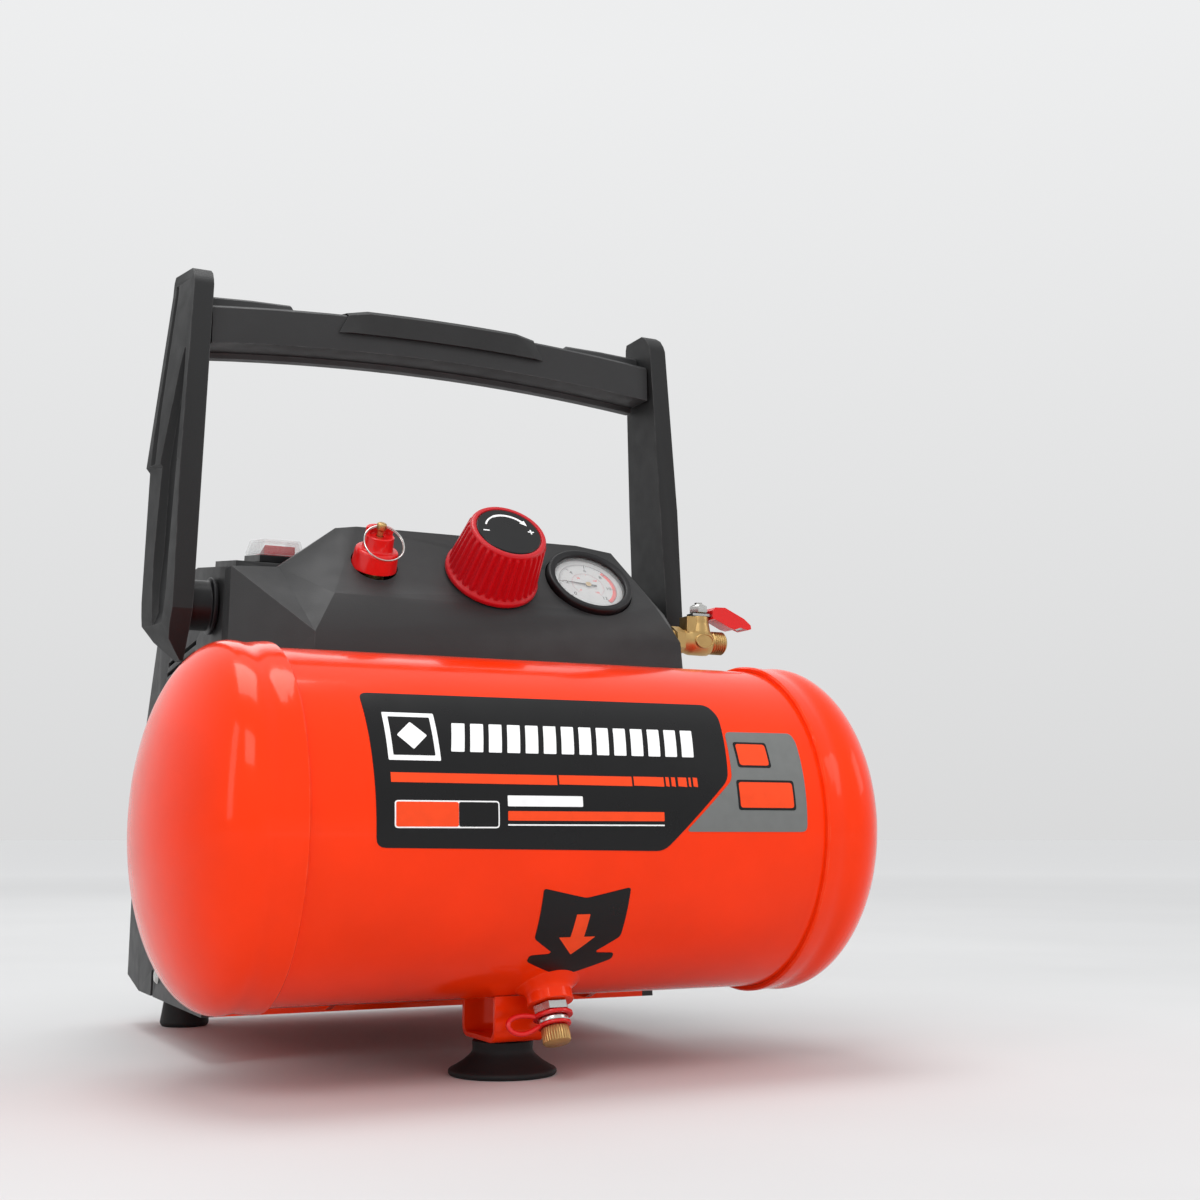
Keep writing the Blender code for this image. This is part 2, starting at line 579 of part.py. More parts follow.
# An upright's level sections from the top down: height, then front and rear, and the half widths of
# its outer face there.
UPRIGHT = [
    (0.2905, 0.1110, 0.1305, 0.1383, 0.1428),
    (0.2875, 0.1060, 0.1318, 0.1386, 0.1432),
    (0.2835, 0.1030, 0.1322, 0.1390, 0.1434),
    (0.2800, 0.1013, 0.1322, 0.1391, 0.1436),
    (0.1860, 0.0966, 0.1350, 0.1438, 0.1534),
    (0.1835, 0.0965, 0.1350, 0.1440, 0.1514),
    (0.1400, 0.0946, 0.1355, 0.1449, 0.1524),
    (0.1150, 0.0936, 0.1350, 0.1455, 0.1531),
    (0.1080, 0.0932, 0.1335, 0.1458, 0.1532),
    (0.1020, 0.0960, 0.1315, 0.1462, 0.1532),
    (0.0930, 0.1010, 0.1230, 0.1455, 0.1484),
    (0.0830, 0.1070, 0.1140, 0.1385, 0.1392)]
# Grooves down an upright's outer face: height, front edge, rear edge, depth.
REAR_GROOVE = [(0.2845, 0.1248, 0.1284, 0.0005), (0.2800, 0.1238, 0.1280, 0.0040),
               (0.1890, 0.1250, 0.1302, 0.0042), (0.1866, 0.1254, 0.1300, 0.0006)]
FRONT_GROOVE = [(0.2450, 0.1036, 0.1048, 0.0004), (0.2340, 0.1026, 0.1082, 0.0028),
                (0.1860, 0.1010, 0.1192, 0.0050), (0.1400, 0.1036, 0.1228, 0.0050),
                (0.1200, 0.1036, 0.1220, 0.0037), (0.1080, 0.1046, 0.1195, 0.0032),
                (0.1015, 0.1066, 0.1180, 0.0005)]


def upright_ring(side, section):
    """One level section of an upright, from its front inner corner round its outer face."""
    z, front, rear, near, far = section
    inner = grip_inner(z)
    return [(side * x, y, z) for x, y in ((inner, front), (near, front), (far, rear), (inner, rear))]


def outer_face(z, y):
    """How far out an upright's outer face is at a height and depth."""
    upper, lower = next((a, b) for a, b in zip(UPRIGHT, UPRIGHT[1:]) if a[0] >= z >= b[0])
    share = (upper[0] - z) / (upper[0] - lower[0])
    _, front, rear, near, far = (a + (b - a) * share for a, b in zip(upper, lower))
    return near + (far - near) * (y - front) / (rear - front)


def groove_ring(side, row, wall):
    """One level section of a groove's cutter, which stands out past the outer face."""
    z, front, rear, depth = row
    out_front = outer_face(z, front)
    out_rear = outer_face(z, rear)
    points = [(out_front + 0.0040, front - 0.0010), (out_front, front), (out_front - depth, front + depth * wall),
              (out_rear - depth, rear - depth * 0.2), (out_rear, rear), (out_rear + 0.0040, rear + 0.0008)]
    return [(side * x, y, z) for x, y in points]


def build_handle():
    frame = Matrix.Translation(at(0, 0, 0))
    pin = [(0.0000, 0.1430), (0.0046, 0.1430), (0.0050, 0.1425), (0.0050, 0.1345), (0.0124, 0.1345),
           (HUB_R, 0.1337), (HUB_R, 0.1240), (0.0148, 0.1234), (0.0148, 0.1213), (0.0050, 0.1213),
           (0.0050, 0.1120), (0.0000, 0.1120)]
    for side, name in SIDES:
        pivot = along(at(0, HUB_Y, HUB_Z), (side, 0, 0))
        upright = loft("handle_upright_" + name, [upright_ring(side, section) for section in UPRIGHT],
                       GREY, frame)
        cut(upright, cylinder("upright_bore", 0.0053, 0.13, 0.1433, None, pivot, 24))
        for rows, wall in ((REAR_GROOVE, 0.3), (FRONT_GROOVE, 0.8)):
            cut(upright, loft("groove", [groove_ring(side, row, wall) for row in rows], None, frame))
        turned("handle_pivot_" + name, pin, BLACK, pivot, 28)
    build_crossbar()


def bar_middle(x):
    """Height of the crossbar's middle: a gentle arch."""
    return BAR_Z + BAR_RISE * (1 - (x / BAR_HALF) ** 2)


BAR_SECTION = [(0.0000, -0.0100), (0.0006, 0.0092), (0.0022, 0.0106), (0.0225, 0.0135),
               (0.0262, 0.0120), (0.0270, -0.0127), (0.0215, -0.0127), (0.0205, -0.0100)]
PAD_OUTER = [(-0.0024, -0.0005), (-0.0020, 0.0110), (0.0012, 0.0134), (0.0222, 0.0166),
             (0.0284, 0.0140), (0.0292, 0.0010)]
PAD_INNER = [(0.0274, 0.0010), (0.0266, 0.0123), (0.0226, 0.0139), (0.0020, 0.0110),
             (0.0002, 0.0094), (-0.0004, -0.0005)]
# How far along the bar each line of the pad runs: its full thickness, then its chamfered foot.
PAD_HALF = 0.0605
PAD_TOP_REACH = [0.90, 0.72, 0.73, 0.88, 0.90, 0.95]
PAD_BASE_REACH = [1.00, 0.91, 0.92, 0.99, 1.00, 1.00]


def pad_ring(half, reaches, thickness):
    """One section of the grip pad, from the front's lower edge over the bar and back beneath."""
    outer, inner = [], []
    for top, foot, reach in zip(PAD_OUTER, reversed(PAD_INNER), reaches):
        x = half * reach
        y = foot[0] + (top[0] - foot[0]) * thickness
        z = foot[1] + (top[1] - foot[1]) * thickness
        outer.append((x, BAR_Y + y, bar_middle(x) + z))
        inner.append((x, BAR_Y + foot[0], bar_middle(x) + foot[1]))
    return outer + inner[::-1]


def build_crossbar():
    frame = Matrix.Translation(at(0, 0, 0))
    count = 16
    stations = [BAR_HALF * (2 * i / count - 1) for i in range(count + 1)]
    rings = [[(x, BAR_Y + y, bar_middle(x) + z) for y, z in BAR_SECTION] for x in stations]
    bar = loft("handle_crossbar", rings, GREY, frame)
    for side in (-1, 1):
        ends = (0.0790, 0.0830, 0.1050, 0.1285)
        heights = (0.0110, 0.0175, 0.0188, 0.0198)
        rings = []
        for end, height in zip(ends, heights):
            middle = bar_middle(end)
            rings.append([(side * end, BAR_Y + y, middle + z) for y, z in (
                (0.0120, 0.0040), (0.0140, height - 0.0015), (0.0165, height), (0.0225, height),
                (0.0258, height - 0.0030), (0.0258, 0.0040))])
        join(bar, loft("bar_ridge", rings, None, frame))

    full = [pad_ring(PAD_HALF * (i / 4 - 1), PAD_TOP_REACH, 1.0) for i in range(9)]
    thin = [pad_ring(PAD_HALF * side, PAD_BASE_REACH, 0.2) for side in (-1, 1)]
    loft("grip_pad", [thin[0], *full, thin[1]], RUBBER, frame)


# ---------------------------------------------------------------- switch
def switch_frame():
    """On top of the switch's plinth, which stands on the sloping deck."""
    height = 0.1304 + (SWITCH_Y - BASE_FRONT) * math.tan(DECK_TILT) + PLINTH
    return leaning(at(SWITCH_X, SWITCH_Y, height), DECK_TILT)


def four_corners(steps):
    return [(side_x * x, side_y * y, z) for x, y, z in steps for side_x in (-1, 1) for side_y in (-1, 1)]


def build_switch():
    frame = switch_frame()
    bezel = box("switch_bezel", (-0.0120, -0.0168, GAP), (0.0120, 0.0168, 0.0042), BLACK, frame)
    join(bezel, box("switch_body", (-0.0108, -0.0143, -0.0170), (0.0108, 0.0143, 0.0030), None, frame))
    cut(bezel, box("rocker_space", (-0.0087, -0.0124, -0.0060), (0.0087, 0.0124, 0.0070), None, frame))
    rocker = [(-0.0109, -0.0020), (0.0109, -0.0020), (0.0108, 0.0048), (0.0000, 0.0052),
              (-0.0106, 0.0098)]
    plate("switch_rocker", rocker, -0.0083, 0.0083, RED, frame @ side_view((0, 0, 0)))

    cover = facetted("switch_cover", four_corners([(0.0117, 0.0158, 0.0045), (0.0117, 0.0158, 0.0060),
                                                   (0.0100, 0.0141, 0.0128)]), CLEAR, frame)
    cut(cover, facetted("switch_cover_inside", four_corners([
        (0.0107, 0.0148, 0.0025), (0.0107, 0.0148, 0.0058), (0.0092, 0.0132, 0.0118)]), None, frame))


# ---------------------------------------------------------------- safety valve
def relief_frame():
    """On the panel, leaning less than the panel does."""
    y = 0.0726
    return leaning(at(RELIEF_X, y, PANEL_Z + (y - PANEL_Y) * math.tan(PANEL_TILT)), RELIEF_TILT)


RING_R, RING_WIRE, RING_LEAN = 0.0105, 0.00075, math.radians(24)
EYE_HEIGHT = 0.0203


def build_safety_valve():
    frame = relief_frame()
    body = [(0.0000, -0.0035), (0.0062, -0.0035), (0.0062, -0.0120), (0.0055, -0.0125),
            (0.0055, -0.0190), (0.0000, -0.0190)]
    turned("relief_body", body, BRASS, frame, 20)
    profile = [(0.0020, 0.0190), (0.0068, 0.0190), (0.0076, 0.0182), (0.0080, 0.0084), (0.0106, 0.0080),
               (0.0113, 0.0070), (0.0120, -0.0025), (0.0020, -0.0025)]
    cap = turned("relief_cap", profile, RED, frame, 24, ring=True)
    cut(cap, box("cap_step", (-0.0100, -0.0100, 0.0135), (0.0100, 0.0027, 0.0250), None, frame))
    stem = turned("relief_stem", [(0.0000, 0.0221), (0.0018, 0.0221), (0.0025, 0.0215), (0.0025, 0.0185),
                                  (0.0016, 0.0178), (0.0016, -0.0025), (0.0000, -0.0025)],
                  BRASS, frame, 16)
    eye = frame @ Vector((0, 0, EYE_HEIGHT))
    cut(stem, cylinder("eye_hole", RING_WIRE + GAP, -0.004, 0.004, None, along(eye, (1, 0, 0)), 16))

    hang = Vector((0, -math.sin(RING_LEAN), -math.cos(RING_LEAN)))
    steps = 32
    places = []
    for i in range(steps):
        t = math.tau * i / steps
        places.append(eye + hang * RING_R * (1 - math.cos(t)) + Vector((1, 0, 0)) * RING_R * math.sin(t))
    pipe("pull_ring", places, RING_WIRE, STEEL, 2, cyclic=True)


# ---------------------------------------------------------------- regulator and gauge
def panel_frame(x):
    return leaning(at(x, PANEL_Y, PANEL_Z), PANEL_TILT)


def build_regulator():
    frame = panel_frame(KNOB_X)
    body = [(0.0000, 0.0220), (0.0030, 0.0220), (0.0030, 0.0185), (0.0120, 0.0180), (0.0130, 0.0170),
            (0.0130, -0.0120), (0.0100, -0.0125), (0.0100, -0.0170), (0.0000, -0.0170)]
    turned("regulator_body", body, CAST, frame, 24)
    top = KNOB_H
    knob = [(0.0000, top - 0.0008), (0.0178, top - 0.0008), (0.0178, top), (0.0198, top),
            (KNOB_TOP_R, top - 0.0010), (0.0241, 0.0036), (KNOB_R, 0.0030), (KNOB_R, 0.0008),
            (0.0215, 0.0008), (0.0180, 0.0250), (0.0034, 0.0250), (0.0034, 0.0225), (0.0000, 0.0225)]
    turned("regulator_knob", knob, RED, frame, 36)
    turned("knob_disc", [(0.0000, top + 0.0001), (0.0170, top + 0.0001), (0.0174, top - 0.0002),
                         (0.0174, top - 0.0005), (0.0000, top - 0.0005)], BLACK, frame, 32)


def build_gauge():
    frame = panel_frame(GAUGE_X)
    case = [(0.0000, -0.0120), (0.0206, -0.0120), (0.0206, -0.0013), (0.0220, -0.0013),
            (0.0220, -0.0140), (0.0050, -0.0142), (0.0045, -0.0180), (0.0000, -0.0180)]
    turned("gauge_case", case, BLACK, frame, 32)
    bezel = [(DIAL_R, 0.0024), (0.0205, 0.0036), (0.0235, 0.0040), (GAUGE_R - 0.0004, 0.0030),
             (GAUGE_R - 0.0004, -0.0010), (0.0211, -0.0010), (0.0211, 0.0016), (DIAL_R, 0.0018)]
    turned("gauge_bezel", bezel, BLACK, frame, 32, ring=True)
    turned("gauge_dial", [(0.0000, -0.0008), (0.0202, -0.0008), (0.0202, -0.0014), (0.0000, -0.0014)],
           WHITE, frame, 32)
    turned("gauge_lens", [(0.0000, 0.0014), (0.0207, 0.0014), (0.0207, 0.0006), (0.0000, 0.0006)],
           CLEAR, frame, 32)

    spin = frame @ Matrix.Rotation(NEEDLE_ANGLE, 4, "Z")
    pointer = [(0.0152, -0.0001), (0.0152, 0.0001), (0.0016, 0.0005), (-0.0050, 0.0007),
               (-0.0050, -0.0007), (0.0016, -0.0005)]
    needle = plate("gauge_needle", pointer, -0.0003, 0.0000, BLACK, spin)
    join(needle, cylinder("needle_hub", 0.0017, -0.0004, 0.0002, None, spin, 16))


# ---------------------------------------------------------------- manifold and outlet valve
def build_outlet():
    frame = Matrix.Translation(at(0, 0, 0))
    block = box("manifold_block", (-0.0600, 0.0800, 0.0960), (0.0950, 0.0970, 0.1130), CAST, frame)
    join(block, box("manifold_outlet", (0.0895, 0.0600, 0.0965), (0.1010, 0.0900, 0.1080), None, frame))
    box("pressure_switch", (-0.1050, 0.1030, 0.0860), (-0.0690, 0.1360, 0.1120), BLACK, frame, 0.0015)
    line = along(at(0, VALVE_Y, VALVE_Z), (1, 0, 0))
    cx = VALVE_X
    pocket, bore = 0.0060, 0.0038
    edge = math.asin(bore / pocket)
    ball = [edge + (math.pi - 2 * edge) * i / 6 for i in range(7)]
    inside = [(pocket * math.sin(t), cx - pocket * math.cos(t)) for t in ball]
    outside = [(0.0058, cx + 0.0152), (0.0065, cx + 0.0145), (0.0065, cx + 0.0070),
               (0.0074, cx + 0.0062), (0.0074, cx - 0.0070), (0.0066, cx - 0.0085), (0.0062, 0.1200),
               (0.0062, 0.1015)]
    body = turned("ball_valve_body", [(bore, cx + 0.0152), *outside, (bore, 0.1015), *inside],
                  BRASS, line, 20, ring=True)
    join(body, hexagon("valve_hexagon", 0.0142, 0.1210, 0.1272, 0.0050, None, line))
    stem_axis = Matrix.Translation(at(cx, VALVE_Y, VALVE_Z))
    join(body, cylinder("stem_collar", 0.0058, 0.0064, 0.0142, None, stem_axis, 20))
    join(body, box("lever_stop", (-0.0100, -0.0045, 0.0050), (-0.0035, 0.0045, 0.0138), None, stem_axis))
    cut(body, cylinder("stem_bore", 0.0026, 0.0040, 0.0160, None, stem_axis, 20))

    sphere_steps = 6
    turns = [math.pi * i / sphere_steps for i in range(sphere_steps + 1)]
    ball_r = 0.0056
    ball_stem = turned("valve_ball", [(ball_r * math.sin(t), ball_r * math.cos(t)) for t in turns],
                       STEEL, stem_axis, 16)
    join(ball_stem, cylinder("stem", 0.0022, 0.0030, 0.0222, None, stem_axis, 20))
    cut(ball_stem, cylinder("ball_bore", 0.0036, -0.01, 0.01, None, line, 20))

    low, thick = 0.0145, 0.0014
    strap = [(-0.0055, low), (0.0105, low), (0.0145, low - 0.0008), (0.0270, low - 0.0060),
             (0.0265, low - 0.0060 + thick), (0.0142, low - 0.0008 + thick), (0.0102, low + thick),
             (-0.0055, low + thick)]
    lever = plate("valve_lever", strap, -0.0035, 0.0035, STEEL, stem_axis @ front_view((0, 0, 0)))
    cut(lever, cylinder("lever_hole", 0.0025, 0.01, 0.02, None, stem_axis, 16))
    grip = [(0.0062, 0.0128), (0.0062, 0.0178), (0.0078, 0.0196), (0.0142, 0.0198), (0.0265, 0.0142),
            (0.0308, 0.0108), (0.0312, 0.0086), (0.0288, 0.0078), (0.0245, 0.0092), (0.0205, 0.0078),
            (0.0170, 0.0086), (0.0080, 0.0128)]
    sleeve = plate("lever_sleeve", grip, -0.0055, 0.0055, RED, stem_axis @ front_view((0, 0, 0)))
    slot = [(0.0050, low - GAP), (0.0106, low - GAP), (0.0144, low - 0.0011), (0.0274, low - 0.0066),
            (0.0267, low - 0.0043), (0.0143, low + thick - 0.0005), (0.0103, low + thick + GAP),
            (0.0050, low + thick + GAP)]
    cut(sleeve, plate("sleeve_slot", slot, -0.0038, 0.0038, None, stem_axis @ front_view((0, 0, 0))))
    hexagon("lever_nut", 0.0096, low + thick + GAP, low + thick + 0.0055, 0.0025, STEEL, stem_axis)


# ---------------------------------------------------------------- motor and pump
def build_motor():
    axis = along(at(0, MOTOR_Y, MOTOR_Z), (1, 0, 0))
    stator = [(STATOR_R, 0.0020), (STATOR_R, -0.0600), (0.0310, -0.0600), (0.0310, 0.0020)]
    turned("motor_stator", stator, LAMINATION, axis, 28, ring=True)
    bell = [(0.0460, -0.0603), (0.0460, -0.0700), (0.0200, -0.0780), (0.0116, -0.0780),
            (0.0116, -0.0710), (0.0180, -0.0700), (0.0400, -0.0660), (0.0400, -0.0603)]
    turned("motor_end_bell", bell, CAST, axis, 24, ring=True)
    rotor = [(0.0000, 0.0180), (0.0060, 0.0180), (0.0060, -0.0040), (0.0295, -0.0045),
             (0.0295, -0.0560), (0.0060, -0.0565), (0.0060, -0.1000), (0.0000, -0.1000)]
    turned("motor_rotor", rotor, LAMINATION, axis, 24)
    bearing = [(0.0113, 0.0035), (0.0113, -0.0035), (0.0063, -0.0035), (0.0063, 0.0035)]
    for x, name in ((-0.0745, "left"), (0.0085, "right")):
        turned("shaft_bearing_" + name, bearing, STEEL, axis @ Matrix.Translation((0, 0, x)), 24, True)

    fan = cylinder("cooling_fan", 0.0150, -0.0960, -0.0830, BLACK, axis, 24)
    blades = 7
    for i in range(blades):
        blade = axis @ Matrix.Rotation(math.tau * i / blades, 4, "Z") @ Matrix.Translation(
            (0.028, 0, -0.0895)) @ Matrix.Rotation(math.radians(32), 4, "X")
        join(fan, box("fan_blade", (-0.0160, -0.0090, -0.0009), (0.0160, 0.0090, 0.0009), None, blade))
    cut(fan, cylinder("fan_bore", 0.0063, -0.11, -0.07, None, axis, 20))

    crankcase = [(0.0440, 0.0620), (0.0440, 0.0023), (0.0116, 0.0023), (0.0116, 0.0140),
                 (0.0170, 0.0140), (0.0170, 0.0060), (0.0400, 0.0060), (0.0400, 0.0620)]
    case = turned("crankcase", crankcase, CAST, axis, 28, ring=True)
    bore = Matrix.Translation(at(PISTON_X, MOTOR_Y, MOTOR_Z))
    cut(case, cylinder("cylinder_mouth", 0.0220, 0.0200, 0.0600, None, bore, 32))
    crank = cylinder("crank_disc", 0.0240, 0.0183, 0.0290, STEEL, axis, 24)
    join(crank, cylinder("crank_pin", 0.0050, 0.0280, 0.0350, None,
                         axis_offset(axis, CRANK_THROW), 16))
    weight = [*arc(0, 0, 0.0235, 200, 340, 7), *arc(0, 0, 0.0120, 340, 200, 5)]
    join(crank, plate("crank_weight", weight, 0.0285, 0.0345, None,
                      side_view(at(0, MOTOR_Y, MOTOR_Z))))


def axis_offset(axis, throw):
    """The motor's axis moved up by the crank's throw."""
    return Matrix.Translation((0, 0, throw)) @ axis


def build_pump():
    bore = Matrix.Translation(at(PISTON_X, MOTOR_Y, MOTOR_Z))
    eye = CRANK_THROW
    rod = plate("piston_rod", [(-0.0045, eye + 0.006), (0.0045, eye + 0.006), (0.0045, 0.0660),
                               (-0.0045, 0.0660)], -0.0040, 0.0040, CAST,
                bore @ side_view((0, 0, 0)))
    ring_axis = bore @ along(Vector((0, 0, eye)), (1, 0, 0))
    join(rod, cylinder("rod_eye", 0.0100, -0.0040, 0.0040, None, ring_axis, 24))
    join(rod, cylinder("piston_disc", PISTON_R, 0.0655, 0.0715, None, bore, 32))
    cut(rod, cylinder("rod_eye_bore", 0.0056, -0.01, 0.01, None, ring_axis, 24))

    wall, fin = 0.0250, 0.0300
    low, high = 0.0440, 0.0790
    profile = [(PISTON_R + GAP, high), (wall + 0.002, high)]
    for i in range(3):
        level = high - 0.0050 - 0.0090 * i
        profile += [(wall, level), (fin, level), (fin, level - 0.0020), (wall, level - 0.0020)]
    profile += [(wall, low), (PISTON_R + GAP, low)]
    turned("pump_cylinder", profile, CAST, bore, 24, ring=True)
    top = high + GAP
    head = box("cylinder_head", (-0.030, -0.030, top), (0.030, 0.030, top + 0.0230), CAST, bore, 0.0012)
    for i in range(4):
        x = -0.021 + 0.014 * i
        cut(head, box("head_slot", (x - 0.0030, -0.035, top + 0.0150), (x + 0.0030, 0.035, top + 0.03),
                      None, bore))
    inlet = inlet_frame()
    turned("check_valve", [(0.0000, 0.1050), (0.0040, 0.1050), (0.0045, 0.0990), (0.0075, 0.0985),
                           (0.0075, 0.0863), (0.0044, 0.0863), (0.0044, 0.0790), (0.0000, 0.0790)],
           BRASS, inlet, 12)
    start = bore @ Vector((-0.0325, 0, top + 0.0110))
    end = inlet @ Vector((0, 0, 0.1085))
    route = [start, start + Vector((-0.018, -0.004, 0.001)), start + Vector((-0.048, -0.034, 0.000)),
             at(-0.078, 0.112, 0.080), inlet @ Vector((0, 0, 0.1230)), end]
    pipe("discharge_tube", smooth_route(route, 5), 0.0030, COPPER, 2)

    floor = BASE_BOTTOM + SHEET + GAP
    cradle = box("motor_cradle", (-0.0550, 0.1450, floor), (0.0200, 0.2250, -0.0500), RUBBER,
                 Matrix.Translation(at(0, 0, 0)))
    cut(cradle, cylinder("cradle_seat", STATOR_R + GAP, -0.07, 0.07, None,
                         along(at(0, MOTOR_Y, MOTOR_Z), (1, 0, 0)), 40))
    cut(cradle, box("cradle_step", (0.0015, 0.13, -0.0700), (0.03, 0.24, -0.03), None,
                    Matrix.Translation(at(0, 0, 0))))


build_tank()
build_drain()
build_foot()
build_base()
build_housing()
build_rear_cover()
build_handle()
build_switch()
build_safety_valve()
build_regulator()
build_gauge()
build_outlet()
build_motor()
build_pump()
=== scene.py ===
"""Looks of a portable oil-free air compressor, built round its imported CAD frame.

Metres, +Z up, the tank towards -Y. Places are given from the middle of the tank's axis through at().
"""

import json
import math

import bmesh
import bpy
from mathutils import Matrix, Vector


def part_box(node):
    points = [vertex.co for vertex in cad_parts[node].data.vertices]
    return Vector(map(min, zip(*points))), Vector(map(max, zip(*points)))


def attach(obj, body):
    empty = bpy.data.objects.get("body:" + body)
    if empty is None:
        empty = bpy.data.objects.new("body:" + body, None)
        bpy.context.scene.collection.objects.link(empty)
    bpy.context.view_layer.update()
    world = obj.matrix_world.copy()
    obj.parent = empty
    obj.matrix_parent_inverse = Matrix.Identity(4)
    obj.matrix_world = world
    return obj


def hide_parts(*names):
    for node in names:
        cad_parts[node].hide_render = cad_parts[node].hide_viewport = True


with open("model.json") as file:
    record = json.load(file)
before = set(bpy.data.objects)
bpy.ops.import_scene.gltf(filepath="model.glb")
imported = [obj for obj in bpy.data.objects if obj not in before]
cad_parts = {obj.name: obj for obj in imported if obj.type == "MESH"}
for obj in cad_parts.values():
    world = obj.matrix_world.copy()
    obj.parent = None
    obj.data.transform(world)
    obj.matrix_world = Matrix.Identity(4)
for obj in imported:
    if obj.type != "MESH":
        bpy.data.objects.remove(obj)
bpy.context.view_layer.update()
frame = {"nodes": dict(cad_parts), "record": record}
NODES = frame["nodes"]
BODY_OF = {node: body for body, nodes in frame["record"]["behaviour"]["bodies"].items() for node in nodes}
SLOT_OF = {part["node"]: part["material_slot"] for part in frame["record"]["subparts"]}

# ---------------------------------------------------------------- dimensions
HEAD_LOW, HEAD_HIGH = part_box("tank_head_left")
TANK_Y, TANK_Z = (HEAD_LOW.y + HEAD_HIGH.y) / 2, (HEAD_LOW.z + HEAD_HIGH.z) / 2
TANK_R = 0.0790
HEAD_R = 0.0813
SEAM_X, SKIRT, DOME = 0.1237, 0.0174, 0.0364

PANEL_TILT = math.radians(50)
PANEL_Y, PANEL_Z = 0.0700, 0.1313
KNOB_X, GAUGE_X, RELIEF_X, RELIEF_Y = 0.0153, 0.0732, -0.0483, 0.0726
RELIEF_TILT = math.radians(31)
KNOB_TOP_R, KNOB_H = 0.0208, 0.0318
GAUGE_R, DIAL_R = 0.0249, 0.0200
SCALE_START, SCALE_SWEEP = 217.0, -270.0    # degrees on the dial: zero, and round to full
RING_R, RING_LEAN, EYE_HEIGHT = 0.0105, math.radians(24), 0.0203
VALVE_X, VALVE_Y, VALVE_Z = 0.1388, 0.0640, 0.1022
DRAIN_X, DRAIN_TILT = 0.0023, math.radians(24.5)
HUB_Y, HUB_Z = 0.1140, 0.1125
FOOT_X = -0.0055
MILLIMETRE = 0.001

CAMERA_PLACE = (-0.31205, -0.81896, 0.10958)
CAMERA_YAW, CAMERA_PITCH = math.radians(26.55), math.radians(8.27)
LENS, SENSOR = 48.6, 36.0


# ---------------------------------------------------------------- placing
def at(x, y, z):
    return Vector((x, TANK_Y + y, TANK_Z + z))


def along(origin, direction):
    """A frame whose Z runs along a direction."""
    turn = Vector(direction).to_track_quat("Z", "Y").to_matrix().to_4x4()
    return Matrix.Translation(origin) @ turn


def leaning(origin, tilt):
    """A frame with X across the object and Z leaning forward from vertical by a tilt."""
    across = Vector((1, 0, 0))
    upslope = Vector((0, math.cos(tilt), math.sin(tilt)))
    normal = Vector((0, -math.sin(tilt), math.cos(tilt)))
    return Matrix.Translation(origin) @ Matrix((across, upslope, normal)).transposed().to_4x4()


TANK_AXIS = along(at(0, 0, 0), (1, 0, 0))
DRAIN_FRAME = along(at(DRAIN_X, 0, 0), (0, -math.sin(DRAIN_TILT), -math.cos(DRAIN_TILT)))
RELIEF_FRAME = leaning(at(RELIEF_X, RELIEF_Y, PANEL_Z + (RELIEF_Y - PANEL_Y) * math.tan(PANEL_TILT)),
                       RELIEF_TILT)
KNOB_FRAME = leaning(at(KNOB_X, PANEL_Y, PANEL_Z), PANEL_TILT)
GAUGE_FRAME = leaning(at(GAUGE_X, PANEL_Y, PANEL_Z), PANEL_TILT)
VALVE_LINE = along(at(0, VALVE_Y, VALVE_Z), (1, 0, 0))
STEM_FRAME = Matrix.Translation(at(VALVE_X, VALVE_Y, VALVE_Z))


